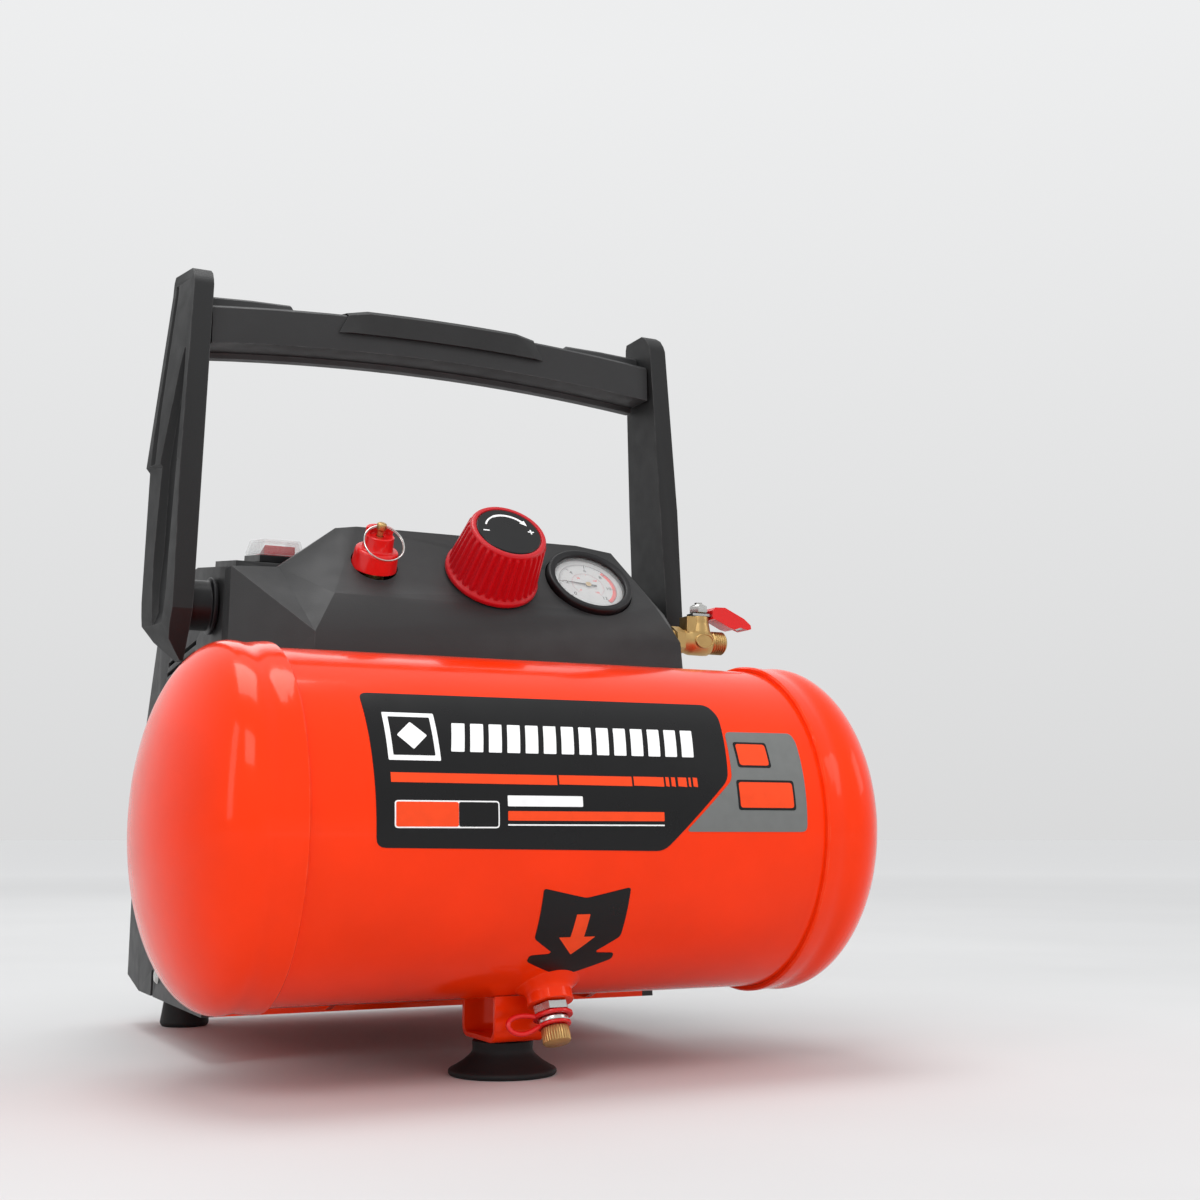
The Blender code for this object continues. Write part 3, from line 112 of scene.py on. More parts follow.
# ---------------------------------------------------------------- materials
class Surface:
    """A material's node tree, built up from its Principled shader."""

    def __init__(self, name, roughness, metallic=0.0):
        self.material = bpy.data.materials.new(name)
        self.material.use_nodes = True
        self.tree = self.material.node_tree
        self.shader = self.tree.nodes["Principled BSDF"]
        self.shader.inputs["Roughness"].default_value = roughness
        self.shader.inputs["Metallic"].default_value = metallic
        self.place = self.tree.nodes.new("ShaderNodeTexCoord").outputs["Object"]

    def node(self, kind, **values):
        made = self.tree.nodes.new(kind)
        for key, value in values.items():
            setattr(made, key, value)
        return made

    def link(self, source, target):
        self.tree.links.new(source, target)

    def noise(self, scale, detail=3.0, distortion=0.0, stretch=None):
        """Noise over the object; scale is in features per metre, and stretch widens it along an axis."""
        made = self.node("ShaderNodeTexNoise")
        made.inputs["Scale"].default_value = scale
        made.inputs["Detail"].default_value = detail
        made.inputs["Distortion"].default_value = distortion
        place = self.place
        if stretch:
            mapping = self.node("ShaderNodeMapping")
            mapping.inputs["Scale"].default_value = stretch
            self.link(place, mapping.inputs["Vector"])
            place = mapping.outputs["Vector"]
        self.link(place, made.inputs["Vector"])
        return made.outputs["Fac"]

    def spread(self, source, low, high, start=0.3, end=0.7):
        """A value mapped from one range to another."""
        made = self.node("ShaderNodeMapRange")
        for key, value in (("From Min", start), ("From Max", end), ("To Min", low), ("To Max", high)):
            made.inputs[key].default_value = value
        self.link(source, made.inputs["Value"])
        return made.outputs["Result"]

    def mix(self, factor, first, second):
        """Two colours mixed; each is a colour or a socket."""
        made = self.node("ShaderNodeMix", data_type="RGBA")
        self.link(factor, made.inputs["Factor"])
        for socket, value in ((made.inputs[6], first), (made.inputs[7], second)):
            if isinstance(value, tuple):
                socket.default_value = (*value, 1.0)
            else:
                self.link(value, socket)
        return made.outputs[2]

    def multiply(self, first, second):
        made = self.node("ShaderNodeMath", operation="MULTIPLY")
        self.link(first, made.inputs[0])
        self.link(second, made.inputs[1])
        return made.outputs[0]

    def colour(self, source):
        self.link(source, self.shader.inputs["Base Color"])
        return self

    def roughness(self, source):
        self.link(source, self.shader.inputs["Roughness"])
        return self

    def bump(self, *layers):
        """Bump from (height socket, depth in metres) pairs, coarse first."""
        normal = None
        for height, depth in layers:
            made = self.node("ShaderNodeBump")
            made.inputs["Strength"].default_value = 1.0
            made.inputs["Distance"].default_value = depth
            self.link(height, made.inputs["Height"])
            if normal:
                self.link(normal, made.inputs["Normal"])
            normal = made.outputs["Normal"]
        self.link(normal, self.shader.inputs["Normal"])
        return self

    def edges(self, radius=0.0010):
        """White along outside edges, broken up by noise: wear on paint and plastics, and a painted highlight
        along the edges of the clear mouldings.
        """
        bevel = self.node("ShaderNodeBevel", samples=4)
        bevel.inputs["Radius"].default_value = radius
        geometry = self.node("ShaderNodeNewGeometry")
        dot = self.node("ShaderNodeVectorMath", operation="DOT_PRODUCT")
        self.link(bevel.outputs["Normal"], dot.inputs[0])
        self.link(geometry.outputs["Normal"], dot.inputs[1])
        mask = self.spread(dot.outputs["Value"], 1.0, 0.0, 0.86, 0.995)
        return self.multiply(mask, self.spread(self.noise(140.0, 4.0), 0.15, 1.0, 0.40, 0.62))


def tinted(colour, factor):
    return tuple(min(1.0, channel * factor) for channel in colour)


def enamel():
    """Gloss paint with a faint orange peel, dust and rubbed edges."""
    look = Surface("orange_enamel", 0.2)
    base = (0.87, 0.034, 0.002)
    shader = look.shader
    shader.inputs["Specular IOR Level"].default_value = 0.20
    shader.inputs["Specular Tint"].default_value = (1.0, 0.45, 0.25, 1.0)
    shader.inputs["Coat Weight"].default_value = 0.22
    shader.inputs["Coat Roughness"].default_value = 0.04
    cloud = look.spread(look.noise(22.0, 4.0), 0.0, 1.0)
    paint = look.mix(cloud, tinted(base, 0.94), tinted(base, 1.05))
    look.colour(look.mix(look.edges(0.0008), paint, (0.90, 0.10, 0.04)))
    look.roughness(look.spread(look.noise(70.0, 5.0), 0.14, 0.24))
    return look.bump((look.noise(30.0, 1.0), 0.00022), (look.noise(420.0, 1.0), 0.000018)).material


def moulded(name, colour, roughness, grain=1500.0, depth=0.00005, worn=0.6, specular=0.4):
    """A moulded plastic: spark-eroded grain, slight unevenness of gloss and lighter worn edges."""
    look = Surface(name, roughness)
    look.shader.inputs["Specular IOR Level"].default_value = specular
    cloud = look.spread(look.noise(35.0, 4.0), 0.0, 1.0)
    base = look.mix(cloud, tinted(colour, 0.95), tinted(colour, 1.05))
    lighter = tuple(channel + (0.22 - channel) * 0.35 * worn if channel < 0.2 else channel
                    for channel in colour)
    look.colour(look.mix(look.edges(), base, lighter))
    look.roughness(look.spread(look.noise(90.0, 5.0), roughness - 0.05, roughness + 0.05))
    return look.bump((look.noise(grain, 2.0), depth)).material


def metal(name, colour, roughness, brushed=None, scale=500.0, depth=0.00002, dull=0.88):
    """A bare or plated metal, with fine tool marks along one axis where asked."""
    look = Surface(name, roughness, 1.0)
    cloud = look.spread(look.noise(60.0, 5.0), 0.0, 1.0)
    look.colour(look.mix(cloud, tinted(colour, dull), tinted(colour, 1.06)))
    look.roughness(look.spread(look.noise(220.0, 5.0), roughness - 0.07, roughness + 0.11))
    return look.bump((look.noise(scale, 2.0, 0.0, brushed), depth)).material


def clear(name, colour, face_alpha, rim_alpha, edge_highlight_alpha, roughness):
    """A thin clear moulding: more of it shows towards its rim, and along its edges, where its pale colour is
    a painted highlight.
    """
    look = Surface(name, roughness)
    layer = look.node("ShaderNodeLayerWeight")
    layer.inputs["Blend"].default_value = 0.35
    seen = look.node("ShaderNodeMath", operation="ADD", use_clamp=True)
    look.link(look.spread(layer.outputs["Facing"], face_alpha, rim_alpha, 0.0, 1.0), seen.inputs[0])
    # painted highlight: the edges are made more opaque, so the pale colour draws light lines along them
    look.link(look.spread(look.edges(0.0006), 0.0, edge_highlight_alpha, 0.0, 1.0), seen.inputs[1])
    look.link(seen.outputs[0], look.shader.inputs["Alpha"])
    cloud = look.spread(look.noise(120.0, 3.0), 0.0, 1.0)
    look.colour(look.mix(cloud, tinted(colour, 0.96), tinted(colour, 1.04)))
    look.roughness(look.spread(look.noise(150.0, 4.0), roughness, roughness + 0.08))
    return look.bump((look.noise(90.0, 1.0), 0.00002)).material


def printed(name, colour, roughness=0.32):
    """Screen-printed film: very slightly mottled, with the film's soft waviness."""
    look = Surface(name, roughness)
    look.shader.inputs["Specular IOR Level"].default_value = 0.25
    cloud = look.spread(look.noise(180.0, 4.0), 0.0, 1.0)
    look.colour(look.mix(cloud, tinted(colour, 0.96), tinted(colour, 1.04)))
    look.roughness(look.spread(look.noise(60.0, 4.0), roughness - 0.05, roughness + 0.06))
    return look.bump((look.noise(35.0, 1.0), 0.00012)).material


MATERIALS = {
    "orange_enamel": enamel(),
    "grey_plastic": moulded("grey_plastic", (0.020, 0.0203, 0.021), 0.50),
    "black_plastic": moulded("black_plastic", (0.006, 0.006, 0.007), 0.40, 900.0, 0.00002, 0.25, 0.3),
    "black_rubber": moulded("black_rubber", (0.009, 0.009, 0.0095), 0.62, 700.0, 0.00005, 0.20, 0.3),
    "red_plastic": moulded("red_plastic", (0.47, 0.004, 0.010), 0.33, 800.0, 0.00002, 0.15, 0.35),
    # clear mouldings: the fifth argument sets the opacity of the painted highlight along their edges
    "clear_silicone": clear("clear_silicone", (0.86, 0.88, 0.88), 0.07, 0.50, 0.5, 0.10),
    "clear_lens": clear("clear_lens", (0.95, 0.96, 0.96), 0.05, 0.30, 0.2, 0.03),
    "white_dial": printed("white_dial", (0.45, 0.452, 0.450), 0.45),
    "brass": metal("brass", (0.55, 0.37, 0.150), 0.40, (1.0, 1.0, 1.0), 700.0),
    "plated_steel": metal("plated_steel", (0.58, 0.58, 0.56), 0.22, (1.0, 6.0, 6.0), 600.0),
    "cast_aluminium": metal("cast_aluminium", (0.46, 0.47, 0.48), 0.45, None, 350.0, 0.00008, 0.8),
    "copper": metal("copper", (0.72, 0.32, 0.18), 0.28, (1.0, 1.0, 1.0), 250.0),
    "motor_steel": metal("motor_steel", (0.22, 0.22, 0.23), 0.45, (30.0, 1.0, 1.0), 60.0, 0.00010),
}
RED_GLOSS = moulded("red_gloss", (0.66, 0.010, 0.010), 0.18, 300.0, 0.00001, 0.08, 0.45)
# painted shade: a darker copy of the grey plastic, used on the handle uprights to show them in shade
SHADED_HANDLE_PLASTIC = moulded("shaded_handle_plastic", (0.0115, 0.0117, 0.0121), 0.50, specular=0.3)
PAD_RUBBER = moulded("pad_rubber", (0.0165, 0.0167, 0.0170), 0.62, 700.0, 0.00005, 0.20, 0.35)
BLACK_FILM = printed("black_film", (0.005, 0.005, 0.0055), 0.30)
GREY_FILM = printed("grey_film", (0.150, 0.156, 0.153), 0.36)
ORANGE_INK = printed("orange_ink", (0.84, 0.060, 0.008), 0.36)
WHITE_INK = printed("white_ink", (0.86, 0.86, 0.86), 0.38)
RED_INK = printed("red_ink", (0.66, 0.020, 0.020), 0.42)


# ---------------------------------------------------------------- mesh work
def add_piece(name, mesh, material, body, matrix=None, sharp=35):
    """A shown mesh which rides on a CAD body."""
    if sharp:
        mesh.shade_smooth()
        mesh.set_sharp_from_angle(angle=math.radians(sharp))
    obj = bpy.data.objects.new(name, mesh)
    bpy.context.scene.collection.objects.link(obj)
    mesh.materials.append(material)
    if matrix is not None:
        obj.matrix_world = matrix
    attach(obj, body)
    return obj


def stand_in(name, mesh, nodes, matrix=None, sharp=35, material=None):
    """A detailed piece shown in place of CAD nodes, with the first one's body and finish."""
    slot = SLOT_OF[nodes[0]]
    piece = add_piece(name, mesh, material or MATERIALS[slot], BODY_OF[nodes[0]], matrix, sharp)
    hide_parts(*nodes)
    return piece


def finished(bm, name):
    bmesh.ops.recalc_face_normals(bm, faces=bm.faces)
    mesh = bpy.data.meshes.new(name)
    bm.to_mesh(mesh)
    bm.free()
    return mesh


def filleted(points, radius, steps=3, closed=False):
    """A polyline with its corners rounded. A third number in a point sets that corner's own radius."""
    out = []
    count = len(points)
    for i, point in enumerate(points):
        here = Vector(point[:2])
        size = point[2] if len(point) > 2 else radius
        if not closed and i in (0, count - 1):
            out.append(here)
            continue
        before = Vector(points[i - 1][:2])
        after = Vector(points[(i + 1) % count][:2])
        reach = min(size, (before - here).length * 0.45, (after - here).length * 0.45)
        if reach < 0.00002:
            out.append(here)
            continue
        start = here + (before - here).normalized() * reach
        end = here + (after - here).normalized() * reach
        for k in range(steps + 1):
            t = k / steps
            out.append(start * (1 - t) ** 2 + here * 2 * t * (1 - t) + end * t * t)
    return [(point.x, point.y) for point in out]


def lathe(bm, profile, segments=96, matrix=None, closed=False, ripple=None):
    """(radius, height) pairs turned about Z into a bmesh.

    ripple(angle, radius, height) adds to the radius.
    """
    rows = []
    for radius, height in profile:
        if radius < 0.00001:
            rows.append([bm.verts.new((0, 0, height))])
            continue
        row = []
        for k in range(segments):
            angle = math.tau * k / segments
            r = radius + (ripple(angle, radius, height) if ripple else 0.0)
            row.append(bm.verts.new((r * math.cos(angle), r * math.sin(angle), height)))
        rows.append(row)
    pairs = list(zip(rows, rows[1:]))
    if closed:
        pairs.append((rows[-1], rows[0]))
    for upper, lower in pairs:
        for k in range(segments):
            j = (k + 1) % segments
            corners = [upper[k % len(upper)], upper[j % len(upper)],
                       lower[j % len(lower)], lower[k % len(lower)]]
            unique = list(dict.fromkeys(corners))
            if len(unique) > 2:
                bm.faces.new(unique)
    if matrix is not None:
        made = [v for row in rows for v in row]
        bmesh.ops.transform(bm, matrix=matrix, verts=made)
    return bm


def turned(name, profile, nodes, matrix, segments=96, radius=0.0006, closed=False, ripple=None, sharp=35):
    """A filleted lathe piece in place of CAD nodes."""
    bm = lathe(bmesh.new(), filleted(profile, radius, 3, closed), segments, None, closed, ripple)
    return stand_in(name, finished(bm, name), nodes, matrix, sharp)


def tube(bm, route, radius, sides=10, closed=False):
    """A round tube through points, with flat ends where it isn't closed."""
    count = len(route)
    rows = []
    normal = None
    for i, point in enumerate(route):
        if closed:
            run = route[(i + 1) % count] - route[i - 1]
        else:
            run = route[min(i + 1, count - 1)] - route[max(i - 1, 0)]
        run.normalize()
        normal = run.orthogonal() if normal is None else normal - run * normal.dot(run)
        normal.normalize()
        side = run.cross(normal)
        rows.append([bm.verts.new(point + (normal * math.cos(math.tau * k / sides)
                                           + side * math.sin(math.tau * k / sides)) * radius)
                     for k in range(sides)])
    pairs = list(zip(rows, rows[1:]))
    if closed:
        pairs.append((rows[-1], rows[0]))
    for first, second in pairs:
        for k in range(sides):
            j = (k + 1) % sides
            bm.faces.new((first[k], first[j], second[j], second[k]))
    if not closed:
        bm.faces.new(reversed(rows[0]))
        bm.faces.new(rows[-1])
    return bm


def smooth_route(points, steps):
    """Points on a Catmull-Rom curve through a few route points."""
    route = [points[0], *points, points[-1]]
    out = []
    for a, b, c, d in zip(route, route[1:], route[2:], route[3:]):
        for i in range(steps):
            t = i / steps
            out.append(0.5 * (2 * b + (c - a) * t + (2 * a - 5 * b + 4 * c - d) * t * t
                              + (3 * b - a - 3 * c + d) * t ** 3))
    return [*out, points[-1]]


def extruded(bm, outline, low, high, matrix=None):
    """A flat outline made into a plate from low to high along Z."""
    bottom = [bm.verts.new((x, y, low)) for x, y in outline]
    top = [bm.verts.new((x, y, high)) for x, y in outline]
    bm.faces.new(list(reversed(bottom)))
    bm.faces.new(top)
    for k in range(len(outline)):
        j = (k + 1) % len(outline)
        bm.faces.new((bottom[k], bottom[j], top[j], top[k]))
    if matrix is not None:
        bmesh.ops.transform(bm, matrix=matrix, verts=bottom + top)
    return bm


def ring_sector(inner, outer, start, end, steps):
    """The outline of part of a flat ring, angles in degrees."""
    turns = [math.radians(start + (end - start) * i / steps) for i in range(steps + 1)]
    out = [(outer * math.cos(t), outer * math.sin(t)) for t in turns]
    return out + [(inner * math.cos(t), inner * math.sin(t)) for t in reversed(turns)]


def refined(node, width, material=None, angle=24, segments=3):
    """A copy of a CAD node with its edges rounded, shown in the node's place.

    Flat faces are merged first, except on the slotted nodes.
    """
    mesh = NODES[node].data.copy()
    mesh.materials.clear()
    bm = bmesh.new()
    bm.from_mesh(mesh)
    bmesh.ops.remove_doubles(bm, verts=bm.verts, dist=0.00002)
    if node not in SLOTTED:
        bmesh.ops.dissolve_limit(bm, angle_limit=math.radians(0.6), verts=bm.verts, edges=bm.edges)
    bmesh.ops.recalc_face_normals(bm, faces=bm.faces)
    bm.to_mesh(mesh)
    bm.free()
    piece = stand_in(node + "_fine", mesh, [node], None, 30, material)
    bevel = piece.modifiers.new("edges", "BEVEL")
    bevel.width = width
    bevel.segments = segments
    bevel.limit_method = "ANGLE"
    bevel.angle_limit = math.radians(angle)
    bevel.miter_outer = "MITER_ARC"
    bevel.harden_normals = True
    return piece


# ---------------------------------------------------------------- tank
def build_tank():
    half = SEAM_X + SKIRT - 0.002
    wall = 0.002
    barrel = [(TANK_R, half), (TANK_R, -half), (TANK_R - wall, -half), (TANK_R - wall, half)]
    bm = lathe(bmesh.new(), barrel, 160, TANK_AXIS, True)
    boss = filleted([(0.0000, 0.0872), (0.0103, 0.0872), (0.0106, 0.0868), (0.0105, 0.0822),
                     (0.0118, 0.0806), (0.0146, 0.0788), (0.0178, 0.0766)], 0.0014)
    lathe(bm, boss, 64, DRAIN_FRAME)
    stand_in("tank_barrel", finished(bm, "tank_barrel"), ["tank_shell"])

    steps = 40
    turns = [math.pi / 2 * i / steps for i in range(steps + 1)]
    dome = [(HEAD_R * math.sin(t), SKIRT + DOME * math.cos(t)) for t in turns]
    lip = [(HEAD_R + 0.0002, 0.0030), (HEAD_R + 0.0002, 0.0008), (HEAD_R - 0.0006, 0.0000),
           (TANK_R + 0.0001, 0.0000), (TANK_R + 0.0001, 0.0100)]
    inner = [((HEAD_R - wall) * math.sin(t), SKIRT + (DOME - wall) * math.cos(t))
             for t in reversed(turns[::4])]
    waist, waist_length, rows = 0.0007, 0.0132, 10
    skirt = [(HEAD_R - waist * math.sin(math.pi * i / rows) ** 2, SKIRT - waist_length * i / rows)
             for i in range(1, rows + 1)]
    for side, name in ((-1, "left"), (1, "right")):
        bm = lathe(bmesh.new(), [*dome, *skirt, *lip, *inner], 160)
        stand_in("tank_dome_" + name, finished(bm, "tank_dome_" + name), ["tank_head_" + name],
                 along(at(side * SEAM_X, 0, 0), (side, 0, 0)))


def wrapped(name, outline, material, lift, corner=0.0):
    """A film on the tank's barrel.

    The outline is in millimetres: along the tank, and up round it from its front.
    """
    points = [(x * MILLIMETRE, s * MILLIMETRE) for x, s in outline]
    if corner:
        points = filleted(points, corner * MILLIMETRE, 4, True)
    bm = bmesh.new()
    bm.faces.new([bm.verts.new((x, s, 0)) for x, s in points])
    low, high = min(s for _, s in points), max(s for _, s in points)
    step = 0.0016
    for k in range(math.floor(low / step), math.ceil(high / step) + 1):
        bmesh.ops.bisect_plane(bm, geom=[*bm.verts, *bm.edges, *bm.faces], plane_co=(0, k * step, 0),
                               plane_no=(0, 1, 0))
    extrusion = bmesh.ops.extrude_face_region(bm, geom=bm.faces[:])
    top = {v for v in extrusion["geom"] if isinstance(v, bmesh.types.BMVert)}
    for vertex in bm.verts:
        radius = TANK_R + (lift if vertex in top else -0.0001)
        turn = vertex.co.y / TANK_R
        vertex.co = at(vertex.co.x, -radius * math.cos(turn), radius * math.sin(turn))
    return add_piece(name, finished(bm, name), material, "compressor", None, 20)


def build_films():
    thin, over = 0.00022, 0.00034
    panel = [(-97.6, 61.5), (73.2, 62.5), (76.6, 55.0), (72.4, 20.9), (38.0, -11.3), (-95.6, -9.4)]
    wrapped("film_panel", panel, BLACK_FILM, thin, 4.0)
    side = [(76.6, 45.6), (112.9, 45.9), (114.3, 41.0), (113.2, -2.8), (48.7, -2.8), (74.6, 20.9)]
    wrapped("film_side", side, GREY_FILM, thin, 3.0)
    starts = (-89.4, -12.9, 23.6, 39.7, 42.6, 46.0, 51.5, 53.8)
    ends = (-13.9, 22.6, 38.7, 41.4, 44.6, 50.4, 52.6, 56.0)
    for i, (start, end) in enumerate(zip(starts, ends)):
        wrapped(f"film_bar_{i}", [(start, 21.6), (end, 21.5), (end, 17.2), (start, 17.5)], ORANGE_INK,
                over)
    wrapped("film_box_rim", [(-88.2, 10.0), (-41.6, 10.0), (-41.6, -1.4), (-88.2, -1.4)], WHITE_INK,
            over, 1.6)
    wrapped("film_box_dark", [(-60.0, 9.4), (-42.2, 9.4), (-42.2, -0.8), (-60.0, -0.8)], BLACK_FILM,
            over + 0.0001, 1.0)
    wrapped("film_box_orange", [(-87.6, 9.4), (-60.1, 9.4), (-60.1, -0.8), (-87.6, -0.8)], ORANGE_INK,
            over + 0.0001, 1.0)
    wrapped("film_rule", [(-37.7, 0.3), (37.7, 0.3), (37.7, -0.3), (-37.7, -0.3)], WHITE_INK,
            over)
    wrapped("film_block_a", [(-37.7, 12.4), (-2.3, 12.4), (-2.3, 7.8), (-37.7, 7.8)], WHITE_INK,
            over, 0.5)
    wrapped("film_block_b", [(-37.7, 5.8), (37.7, 5.8), (37.7, 1.8), (-37.7, 1.8)], ORANGE_INK,
            over, 0.5)
    wrapped("film_mark_rim", [(-89.7, 50.2), (-66.6, 50.2), (-66.6, 27.0), (-89.7, 27.0)], WHITE_INK,
            over, 0.6)
    wrapped("film_mark_dark", [(-87.4, 47.9), (-68.9, 47.9), (-68.9, 29.3), (-87.4, 29.3)], BLACK_FILM,
            over + 0.0001, 0.4)
    wrapped("film_mark_core", [(-78.1, 45.2), (-71.4, 38.6), (-78.1, 32.0), (-84.8, 38.6)], WHITE_INK,
            over + 0.0002, 0.6)
    for i in range(14):
        left = -61.5 + 8.6 * i
        wrapped(f"film_dash_{i}", [(left + 2.4, 45.4), (left + 8.4, 45.4), (left + 6.0, 31.4), (left, 31.4)],
                WHITE_INK, over, 0.4)
    for i, (left, width, low, height) in enumerate(((79.0, 18.0, 27.0, 13.0), (76.5, 31.0, 7.0, 14.0))):
        for j, (inset, ink, slot) in enumerate(((0.0, BLACK_FILM, "black_plastic"),
                                                (1.1, ORANGE_INK, "orange_enamel"))):
            box = [(left + inset, low + inset), (left + width - inset, low + inset),
                   (left + width - inset, low + height - inset), (left + inset, low + height - inset)]
            wrapped(f"film_tab_{i}_{j}", box, ink, over + 0.0001 * j, 1.5)
    badge = [(-18.6, -27.4), (2.6, -32.2), (23.4, -27.4), (24.2, -52.4), (15.0, -60.6), (15.4, -62.0),
             (24.4, -62.6), (24.6, -66.6), (4.0, -79.5), (-17.0, -66.6), (-16.8, -62.6), (-7.6, -62.0),
             (-7.2, -60.6), (-17.6, -52.4)]
    wrapped("film_badge", badge, BLACK_FILM, thin, 1.6)
    arrow = [(-0.5, -40.0), (6.0, -40.0), (6.0, -52.0), (11.5, -52.0), (2.8, -62.5), (-6.0, -52.0),
             (-0.5, -52.0)]
    wrapped("film_arrow", arrow, ORANGE_INK, over, 0.4)


# ---------------------------------------------------------------- drain and feet
def build_drain():
    nipple = [(0.0000, 0.0985), (0.0042, 0.0985), (0.0042, 0.0963), (0.0066, 0.0963), (0.0068, 0.0957),
              (0.0068, 0.0942), (0.0062, 0.0937), (0.0062, 0.0918), (0.0039, 0.0910), (0.0039, 0.0780),
              (0.0000, 0.0780)]
    bm = lathe(bmesh.new(), filleted(nipple, 0.0003), 48)
    hexagon = [(0.0000, 0.0919), (0.0077, 0.0919), (0.0085, 0.0914), (0.0085, 0.0881), (0.0077, 0.0876),
               (0.0000, 0.0876)]
    lathe(bm, hexagon, 6)
    stand_in("drain_fitting", finished(bm, "drain_fitting"), ["drain_nipple"], DRAIN_FRAME)

    def knurl(angle, radius, height):
        return 0.00022 * math.cos(30 * angle) if radius > 0.0061 and 0.0986 < height < 0.1049 else 0.0

    cap = [(0.0000, 0.1055), (0.0056, 0.1055), (0.0062, 0.1049), (0.0062, 0.1047), (0.0062, 0.0988),
           (0.0057, 0.0981), (0.0046, 0.0979), (0.0046, 0.0990), (0.0000, 0.0990)]
    bm = lathe(bmesh.new(), cap, 240, None, False, knurl)
    stand_in("drain_cap_knurled", finished(bm, "drain_cap_knurled"), ["drain_cap"], DRAIN_FRAME, 50)

    bm = bmesh.new()
    upper = [(0.0092, 0.0937), (0.0092, 0.0921), (0.0064, 0.0921), (0.0064, 0.0937)]
    lower = [(0.0078, 0.0978), (0.0078, 0.0964), (0.0046, 0.0964), (0.0046, 0.0978)]
    for loop in (upper, lower):
        lathe(bm, filleted(loop, 0.0005, 3, True), 64, DRAIN_FRAME, True)
    route = [(0.0086, 0.0929), (0.0130, 0.0922), (0.0178, 0.0925), (0.0214, 0.0942), (0.0222, 0.0968),
             (0.0200, 0.0995), (0.0156, 0.1004), (0.0108, 0.0990), (0.0070, 0.0972)]
    places = [DRAIN_FRAME @ Vector((0, 0, drop)) - Vector((reach, 0, 0)) for reach, drop in route]
    tube(bm, smooth_route(places, 8), 0.0011, 12)
    stand_in("drain_tether", finished(bm, "drain_tether"), ["drain_strap"], None, 35, RED_GLOSS)


def build_feet():
    floor = Matrix.Translation((FOOT_X, TANK_Y, 0))
    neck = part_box("front_foot")[1].z
    foot = [(0.0034, neck), (0.0144, neck), (0.0139, 0.0112), (0.0150, 0.0094), (0.0182, 0.0066),
            (0.0222, 0.0041), (0.0247, 0.0029), (0.0253, 0.0021), (0.0253, 0.0010), (0.0245, 0.0000),
            (0.0205, 0.0000), (0.0160, 0.0024), (0.0034, 0.0040)]
    turned("foot_cup", foot, ["front_foot"], floor, 96, 0.0010, True)
    for name in ("rear_foot_left", "rear_foot_right"):
        low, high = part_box(name)
        place = Matrix.Translation(((low.x + high.x) / 2, (low.y + high.y) / 2, 0))
        radius = (high.x - low.x) / 2
        profile = [(0.0028, high.z), (radius - 0.003, high.z), (radius, 0.0020), (radius - 0.0012, 0.0000),
                   (0.0060, 0.0000), (0.0060, 0.0060), (0.0028, 0.0060)]
        turned(name + "_fine", profile, [name], place, 64, 0.0008, True)


# ---------------------------------------------------------------- knob and gauge
def build_knob():
    top = KNOB_H
    ribs = 32

    def rib(angle, radius, height):
        if not 0.0042 < height < top - 0.0016 or radius < 0.0195:
            return 0.0
        fade = min(1.0, (height - 0.0042) / 0.0012, (top - 0.0016 - height) / 0.0010)
        wave = math.cos(ribs * angle)
        return 0.00062 * fade * (1 if wave > 0 else -1) * abs(wave) ** 0.45

    def wall(height):
        share = (height - 0.0036) / (top - 0.0010 - 0.0036)
        return 0.0241 + (KNOB_TOP_R - 0.0002 - 0.0241) * share

    ring_step = 0.0024
    heights = [top - 0.0014, top - 0.0022, top - 0.0030,
               *(top - 0.0030 - ring_step * i for i in range(1, 10)), 0.0060, 0.0052, 0.0045]
    profile = [(0.0000, top - 0.0008), (0.0176, top - 0.0008), (0.0178, top - 0.0006), (0.0180, top - 0.0001),
               (0.0184, top), (0.0196, top), (0.0202, top - 0.0003), (0.0206, top - 0.0008),
               *((wall(h), h) for h in heights),
               (0.0243, 0.0040), (0.0252, 0.0034), (0.0255, 0.0028), (0.0255, 0.0012), (0.0252, 0.0008),
               (0.0215, 0.0008), (0.0180, 0.0250), (0.0034, 0.0250), (0.0034, 0.0225), (0.0000, 0.0225)]
    bm = lathe(bmesh.new(), profile, ribs * 12, None, False, rib)
    stand_in("knob_ribbed", finished(bm, "knob_ribbed"), ["regulator_knob"], KNOB_FRAME, 40)

    disc = [(0.0000, top + 0.0001), (0.0170, top + 0.0001), (0.0174, top - 0.0002), (0.0174, top - 0.0005),
            (0.0000, top - 0.0005)]
    plate = finished(lathe(bmesh.new(), disc), "knob_plate")
    stand_in("knob_plate", plate, ["knob_disc"], KNOB_FRAME, 35, BLACK_FILM)
    bm = bmesh.new()
    low, high = top + 0.00005, top + 0.00018
    arc_r = 0.0126
    for start, end, width in ((42, 120, 0.0014), (120, 160, 0.0009)):
        extruded(bm, ring_sector(arc_r - width / 2, arc_r + width / 2, start, end, 24), low, high)
    tip = math.radians(36)
    centre = Vector((arc_r * math.cos(tip), arc_r * math.sin(tip)))
    forward = Vector((math.sin(tip), -math.cos(tip)))
    side = Vector((math.cos(tip), math.sin(tip)))
    head = [centre + forward * 0.0024, centre - forward * 0.0014 + side * 0.0019,
            centre - forward * 0.0014 - side * 0.0019]
    extruded(bm, [(p.x, p.y) for p in head], low, high)
    for x, y, tall in ((arc_r, 0.0008, True), (-0.0128, -0.0006, False)):
        bars = [(0.0017, 0.0004)] + ([(0.0004, 0.0017)] if tall else [])
        for half_x, half_y in bars:
            extruded(bm, [(x - half_x, y - half_y), (x + half_x, y - half_y), (x + half_x, y + half_y),
                          (x - half_x, y + half_y)], low, high)
    add_piece("knob_marks", finished(bm, "knob_marks"), WHITE_INK, "regulator_knob",
              KNOB_FRAME)


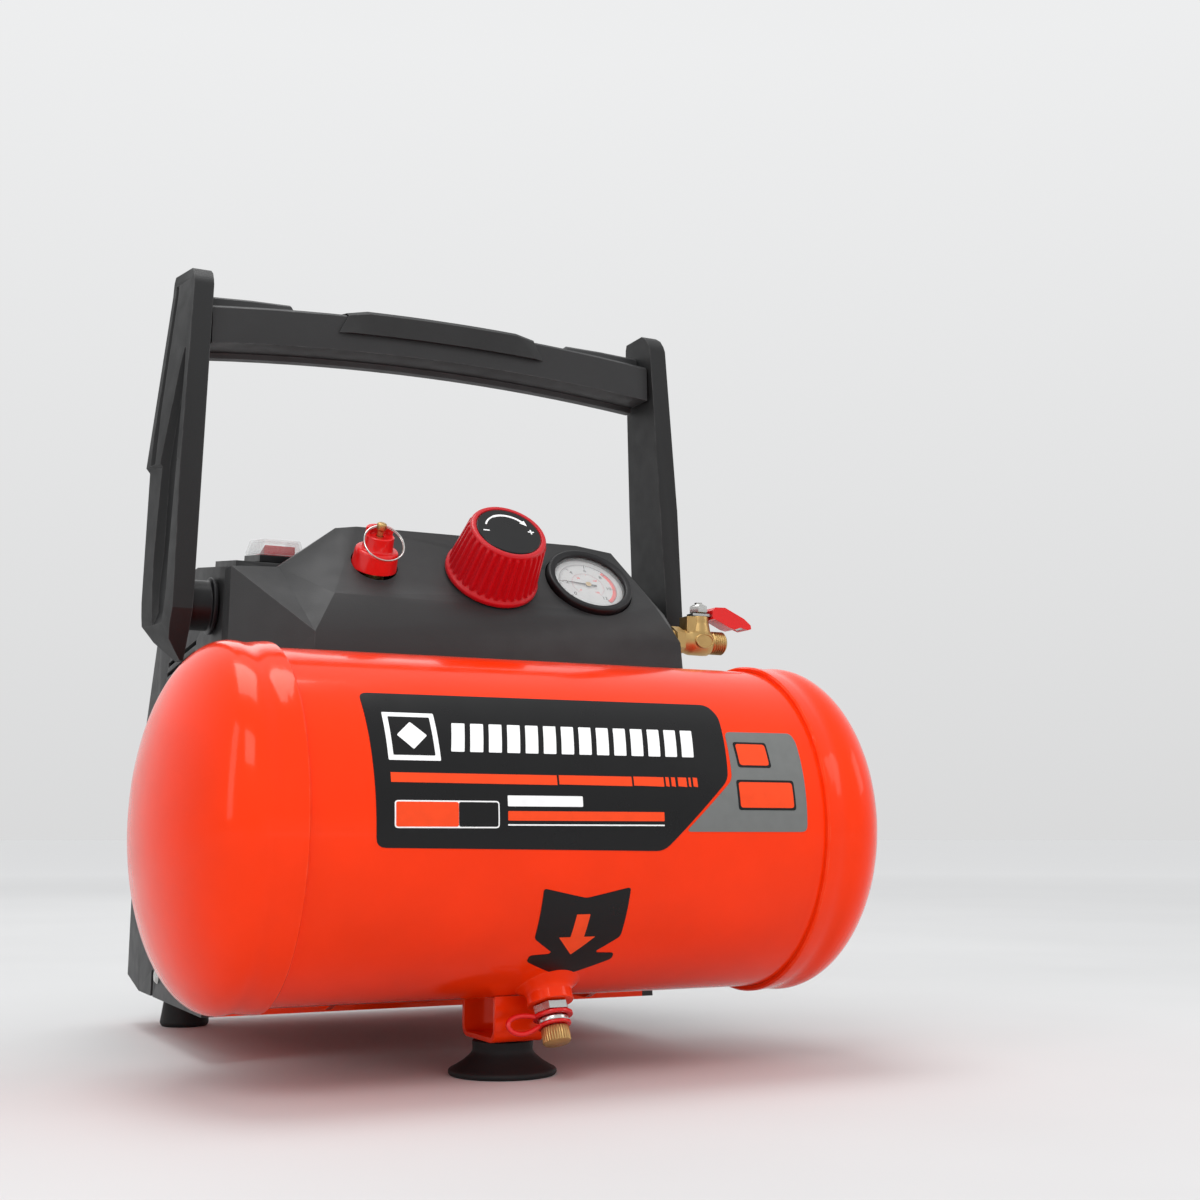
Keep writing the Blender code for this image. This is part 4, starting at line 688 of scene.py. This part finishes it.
def text_mesh(bm, words, size, x, y, height):
    """Figures added to a bmesh, centred on a place in its XY plane."""
    curve = bpy.data.curves.new("figures", "FONT")
    curve.body = words
    curve.size = size
    curve.align_x = "CENTER"
    curve.align_y = "CENTER"
    curve.extrude = 0.00002
    curve.offset = 0.00006
    curve.resolution_u = 3
    holder = bpy.data.objects.new("figures", curve)
    bpy.context.scene.collection.objects.link(holder)
    graph = bpy.context.evaluated_depsgraph_get()
    mesh = bpy.data.meshes.new_from_object(holder.evaluated_get(graph))
    mesh.transform(Matrix.Translation((x, y, height)))
    bm.from_mesh(mesh)
    bpy.data.objects.remove(holder, do_unlink=True)
    bpy.data.meshes.remove(mesh)


def on_dial(radius, share):
    """A place on the dial at a share of the scale."""
    turn = math.radians(SCALE_START + SCALE_SWEEP * share)
    return radius * math.cos(turn), radius * math.sin(turn), turn


def build_gauge():
    bezel = [(DIAL_R, 0.0024), (0.0208, 0.0036), (0.0235, 0.0040), (GAUGE_R - 0.0004, 0.0030),
             (GAUGE_R - 0.0004, -0.0010), (0.0211, -0.0010), (0.0211, 0.0016), (DIAL_R, 0.0018)]
    turned("gauge_rim", bezel, ["gauge_bezel"], GAUGE_FRAME, 128, 0.0007, True)
    turned("gauge_face", [(0.0000, -0.0008), (0.0202, -0.0008), (0.0202, -0.0014), (0.0000, -0.0014)],
           ["gauge_dial"], GAUGE_FRAME, 96, 0.0001)
    lens = [(0.0000, 0.0015), (0.0120, 0.0014), (0.0207, 0.0011), (0.0207, 0.0006), (0.0000, 0.0006)]
    turned("gauge_glass", lens, ["gauge_lens"], GAUGE_FRAME, 96, 0.0001)

    low, high = -0.00083, -0.00074
    black, red = bmesh.new(), bmesh.new()
    divisions = 60
    for i in range(divisions + 1):
        long, middle = i % 10 == 0, i % 5 == 0
        inner = 0.0143 if long else 0.0150 if middle else 0.0157
        x, y, turn = on_dial(1.0, i / divisions)
        across = Vector((-math.sin(turn), math.cos(turn))) * (0.00026 if long else 0.00013)
        out = Vector((x, y))
        corners = [out * inner + across, out * inner - across, out * 0.0167 - across, out * 0.0167 + across]
        extruded(black, [(p.x, p.y) for p in corners], low, high)
    start, end = SCALE_START, SCALE_START + SCALE_SWEEP
    extruded(black, ring_sector(0.0167, 0.0169, start, end, 90), low, high)
    extruded(black, ring_sector(0.0094, 0.0095, start, end, 90), low, high)
    for i in range(31):
        x, y, turn = on_dial(1.0, i / 30)
        across = Vector((-math.sin(turn), math.cos(turn))) * 0.00007
        out = Vector((x, y))
        inner = 0.0083 if i % 5 == 0 else 0.0088
        corners = [out * inner + across, out * inner - across, out * 0.0094 - across, out * 0.0094 + across]
        extruded(red, [(p.x, p.y) for p in corners], low, high)
    for i in range(7):
        x, y, _ = on_dial(0.0122, i / 6)
        text_mesh(black, str(2 * i), 0.0034, x, y, -0.00078)
    for i in range(0, 7, 2):
        x, y, _ = on_dial(0.0069, i / 6)
        text_mesh(red, str(25 * i), 0.0018, x, y, -0.00078)
    extruded(red, ring_sector(0.0144, 0.0166, SCALE_START + SCALE_SWEEP * 0.64,
                              SCALE_START + SCALE_SWEEP, 40), low - 0.00002, high - 0.00003)
    add_piece("gauge_print_black", finished(black, "gauge_print_black"), BLACK_FILM, "compressor",
              GAUGE_FRAME, 0)
    add_piece("gauge_print_red", finished(red, "gauge_print_red"), RED_INK, "compressor",
              GAUGE_FRAME, 0)
    boss = [(0.0000, 0.0005), (0.0017, 0.0005), (0.0017, 0.0000), (0.0000, 0.0000)]
    hub = lathe(bmesh.new(), filleted(boss, 0.0003), 32)
    add_piece("needle_boss", finished(hub, "needle_boss"), MATERIALS["brass"], "gauge_needle",
              GAUGE_FRAME)


# ---------------------------------------------------------------- safety valve
def build_relief():
    skirt = [(0.0020, -0.0025), (0.0119, -0.0025), (0.0120, -0.0020), (0.0113, 0.0066), (0.0108, 0.0078),
             (0.0096, 0.0081), (0.0082, 0.0082), (0.0079, 0.0100), (0.0077, 0.0130)]
    bm = bmesh.new()
    crown = [(0.0076, 0.0152), (0.0072, 0.0156), (0.0058, 0.0156), (0.0050, 0.0150), (0.0020, 0.0150)]
    lathe(bm, [*filleted(skirt, 0.0006), *crown])
    steps = 28
    outer, inner = 0.0076, 0.0050
    back = [(outer * math.cos(t), outer * math.sin(t)) for t in
            (math.radians(12 + 156 * i / steps) for i in range(steps + 1))]
    front = [(inner * math.cos(t), inner * math.sin(t)) for t in
             (math.radians(168 - 136 * i / steps) for i in range(steps + 1))]
    extruded(bm, [*back, *front], 0.0140, 0.0189)
    piece = stand_in("relief_hood", finished(bm, "relief_hood"), ["relief_cap"], RELIEF_FRAME, 40, RED_GLOSS)
    bevel = piece.modifiers.new("edges", "BEVEL")
    bevel.width, bevel.segments, bevel.angle_limit = 0.0006, 3, math.radians(50)

    stem = [(0.0000, 0.0221), (0.0018, 0.0221), (0.0025, 0.0216), (0.0026, 0.0202), (0.0025, 0.0187),
            (0.0016, 0.0178), (0.0016, -0.0025), (0.0000, -0.0025)]
    turned("relief_spindle", stem, ["relief_stem"], RELIEF_FRAME, 48, 0.0004)

    eye = RELIEF_FRAME @ Vector((0, 0, EYE_HEIGHT))
    hang = Vector((0, -math.sin(RING_LEAN), -math.cos(RING_LEAN)))
    normal = hang.cross(Vector((1, 0, 0)))
    bm = bmesh.new()
    for offset in (-0.00032, 0.00032):
        steps = 96
        centre = eye + hang * RING_R + normal * offset
        tube(bm, [centre + (Vector((1, 0, 0)) * math.sin(t) - hang * math.cos(t)) * (RING_R + offset * 0.3)
                  for t in (math.tau * i / steps for i in range(steps))], 0.00036, 10, True)
    stand_in("split_ring", finished(bm, "split_ring"), ["pull_ring"])


# ---------------------------------------------------------------- outlet tap
def build_tap():
    cx = VALVE_X
    profile = [(0.0000, cx + 0.0100), (0.0038, cx + 0.0100), (0.0038, cx + 0.0150), (0.0046, cx + 0.0152),
               (0.0056, cx + 0.0152)]
    pitch = 0.001337
    for i in range(6):
        start = cx + 0.0148 - pitch * i
        profile += [(0.0059, start), (0.0065, start - pitch * 0.42), (0.0065, start - pitch * 0.55)]
    profile += [(0.0060, cx + 0.0066), (0.0068, cx + 0.0058), (0.0074, cx + 0.0046), (0.0075, cx + 0.0020),
                (0.0074, cx - 0.0060), (0.0070, cx - 0.0078), (0.0065, cx - 0.0090), (0.0064, cx - 0.0120),
                (0.0064, 0.1100), (0.0000, 0.1100)]
    bm = lathe(bmesh.new(), profile, 80, VALVE_LINE)
    corner = 0.0142 / math.sqrt(3)
    nut = [(0.0000, 0.1272), (corner - 0.0012, 0.1272), (corner, 0.1266), (corner, 0.1216),
           (corner - 0.0012, 0.1210), (0.0000, 0.1210)]
    lathe(bm, nut, 6, VALVE_LINE @ Matrix.Rotation(math.radians(30), 4, "Z"))
    collar = [(0.0000, 0.0142), (0.0057, 0.0142), (0.0057, 0.0105), (0.0061, 0.0085), (0.0066, 0.0055),
              (0.0066, 0.0020), (0.0000, 0.0020)]
    lathe(bm, filleted(collar, 0.0005), 64, STEM_FRAME)
    block = [(-0.0098, -0.0046), (-0.0036, -0.0046), (-0.0036, 0.0046), (-0.0098, 0.0046)]
    extruded(bm, filleted(block, 0.0007, 3, True), 0.0050, 0.0138, STEM_FRAME)
    pad_frame = along(at(cx - 0.0006, VALVE_Y, VALVE_Z), (0, -1, 0)) @ Matrix.Diagonal((1.12, 0.78, 1.0, 1.0))
    boss = [(0.0000, 0.0082), (0.0047, 0.0082), (0.0052, 0.0078), (0.0052, 0.0060), (0.0000, 0.0060)]
    lathe(bm, filleted(boss, 0.0003), 64, pad_frame)
    rim = [(0.0042, 0.0081), (0.0044, 0.0086), (0.0050, 0.0086), (0.0052, 0.0081)]
    lathe(bm, filleted(rim, 0.0002, 2, True), 64, pad_frame, True)
    stand_in("tap_body", finished(bm, "tap_body"), ["ball_valve_body"], None, 32)

    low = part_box("lever_nut")[0].z - STEM_FRAME.translation.z
    radius = 0.0096 / math.sqrt(3)
    hexagon = [(0.0000, low), (radius - 0.0006, low), (radius, low + 0.0004), (radius, low + 0.0034),
               (radius - 0.0005, low + 0.0040), (0.0044, low + 0.0042), (0.0000, low + 0.0042)]
    bm = lathe(bmesh.new(), hexagon, 6)
    dome = [(0.0000, low + 0.0055), (0.0014, low + 0.0054), (0.0028, low + 0.0051), (0.0038, low + 0.0045),
            (0.0043, low + 0.0036), (0.0000, low + 0.0036)]
    lathe(bm, dome, 48)
    stand_in("lever_dome_nut", finished(bm, "lever_dome_nut"), ["lever_nut"], STEM_FRAME, 40)

    sleeve = refined("lever_sleeve", 0.0007, RED_GLOSS, 20, 4)
    sleeve.modifiers["edges"].use_clamp_overlap = True


# ---------------------------------------------------------------- handle pivots
def build_small_pieces():
    pivot = [(0.0000, 0.1430), (0.0046, 0.1430), (0.0050, 0.1425), (0.0050, 0.1345), (0.0122, 0.1345),
             (0.0130, 0.1338), (0.0130, 0.1240), (0.0148, 0.1236), (0.0148, 0.1213), (0.0050, 0.1213),
             (0.0050, 0.1120), (0.0000, 0.1120)]
    for side, name in ((-1, "left"), (1, "right")):
        place = along(at(0, HUB_Y, HUB_Z), (side, 0, 0))
        turned("handle_hub_" + name, pivot, ["handle_pivot_" + name], place, 96, 0.0006)


# ---------------------------------------------------------------- flat-sided pieces
SLOTTED = ("housing_shell", "rear_cover")
HARD_EDGES = {
    "housing_shell": 0.0011, "rear_cover": 0.0011, "handle_upright_left": 0.0006,
    "handle_upright_right": 0.0006, "handle_crossbar": 0.0008, "grip_pad": 0.0008, "base_plate": 0.0005,
    "foot_bracket": 0.0005, "switch_bezel": 0.0005, "switch_rocker": 0.0006, "switch_cover": 0.0005,
    "valve_lever": 0.0003, "cord_gland": 0.0004,
}


# the handle uprights take the darker, painted-shade copy of the grey plastic
OWN_LOOK = {
    "handle_upright_left": SHADED_HANDLE_PLASTIC, "handle_upright_right": SHADED_HANDLE_PLASTIC, "grip_pad": PAD_RUBBER,
}


def build_refined():
    for node, width in HARD_EDGES.items():
        refined(node, width, OWN_LOOK.get(node))


def dress_frame():
    """The CAD nodes that stay in view, or inside the casing, get their finish."""
    for name, node in NODES.items():
        node.data.materials.clear()
        node.data.materials.append(MATERIALS[SLOT_OF[name]])


# ---------------------------------------------------------------- room
def soft_light(name, place, target, size, power, shape_y=None):
    data = bpy.data.lights.new(name, "AREA")
    data.shape = "RECTANGLE"
    data.size = size
    data.size_y = shape_y or size
    data.energy = power
    lamp = bpy.data.objects.new(name, data)
    bpy.context.scene.collection.objects.link(lamp)
    lamp.location = place
    lamp.rotation_mode = "QUATERNION"
    lamp.rotation_quaternion = (Vector(target) - Vector(place)).to_track_quat("-Z", "Y")
    return lamp


def build_world():
    """A pale studio: as bright as the floor at the horizon, and brighter above."""
    world = bpy.data.worlds.new("studio")
    world.use_nodes = True
    tree = world.node_tree
    direction = tree.nodes.new("ShaderNodeTexCoord")
    parts = tree.nodes.new("ShaderNodeSeparateXYZ")
    ramp = tree.nodes.new("ShaderNodeValToRGB")
    ramp.color_ramp.elements[0].color = (0.700, 0.702, 0.705, 1.0)
    ramp.color_ramp.elements[1].position = 0.45
    ramp.color_ramp.elements[1].color = (0.850, 0.855, 0.860, 1.0)
    tree.links.new(direction.outputs["Generated"], parts.inputs["Vector"])
    tree.links.new(parts.outputs["Z"], ramp.inputs["Fac"])
    tree.links.new(ramp.outputs["Color"], tree.nodes["Background"].inputs["Color"])
    bpy.context.scene.world = world
    bpy.context.scene.view_settings.view_transform = "Standard"


def build_room():
    bm = bmesh.new()
    bmesh.ops.create_circle(bm, cap_ends=True, segments=96, radius=40.0)
    floor = bpy.data.objects.new("floor", finished(bm, "floor"))
    bpy.context.scene.collection.objects.link(floor)
    look = Surface("pale_floor", 0.9)
    look.shader.inputs["Specular IOR Level"].default_value = 0.1
    # painted shade: the floor is darker near the middle, fading to pale by four metres out, to cancel the
    # pool of light the lamps throw round the object
    reach = look.node("ShaderNodeVectorMath", operation="LENGTH")
    look.link(look.place, reach.inputs[0])
    cloud = look.spread(look.noise(3.0, 3.0), 0.0, 1.0)
    painted_shade_near = look.mix(cloud, (0.60, 0.602, 0.605), (0.63, 0.632, 0.635))
    look.colour(look.mix(look.spread(reach.outputs["Value"], 0.0, 1.0, 0.7, 4.0), painted_shade_near, (0.84, 0.843, 0.846)))
    look.bump((look.noise(600.0, 2.0), 0.00003))
    floor.data.materials.append(look.material)

    build_world()

    middle = (0.0, 0.0, 0.18)
    soft_light("key", (-1.1, -1.5, 1.7), middle, 0.8, 9.0)
    soft_light("left_strip", (-2.1, -0.8, 1.15), middle, 0.35, 6.0, 2.0)
    soft_light("right_fill", (1.7, -1.0, 1.0), middle, 0.7, 3.0)
    soft_light("top", (-0.2, 0.1, 2.0), middle, 1.0, 15.0)
    soft_light("back", (0.4, 1.9, 1.3), middle, 1.0, 3.0)
    low_fill = soft_light("low_fill", (0.2, -1.5, 0.12), middle, 0.9, 3.5, 0.2)
    low_fill.visible_glossy = False


def build_camera():
    data = bpy.data.cameras.new("camera")
    data.lens = LENS
    data.sensor_width = SENSOR
    camera = bpy.data.objects.new("camera", data)
    bpy.context.scene.collection.objects.link(camera)
    forward = Vector((math.sin(CAMERA_YAW) * math.cos(CAMERA_PITCH),
                      math.cos(CAMERA_YAW) * math.cos(CAMERA_PITCH), math.sin(CAMERA_PITCH)))
    camera.location = CAMERA_PLACE
    camera.rotation_mode = "QUATERNION"
    camera.rotation_quaternion = forward.to_track_quat("-Z", "Y")
    bpy.context.scene.camera = camera


build_camera()
build_room()
dress_frame()
build_tank()
build_films()
build_drain()
build_feet()
build_knob()
build_gauge()
build_relief()
build_tap()
build_small_pieces()
build_refined()
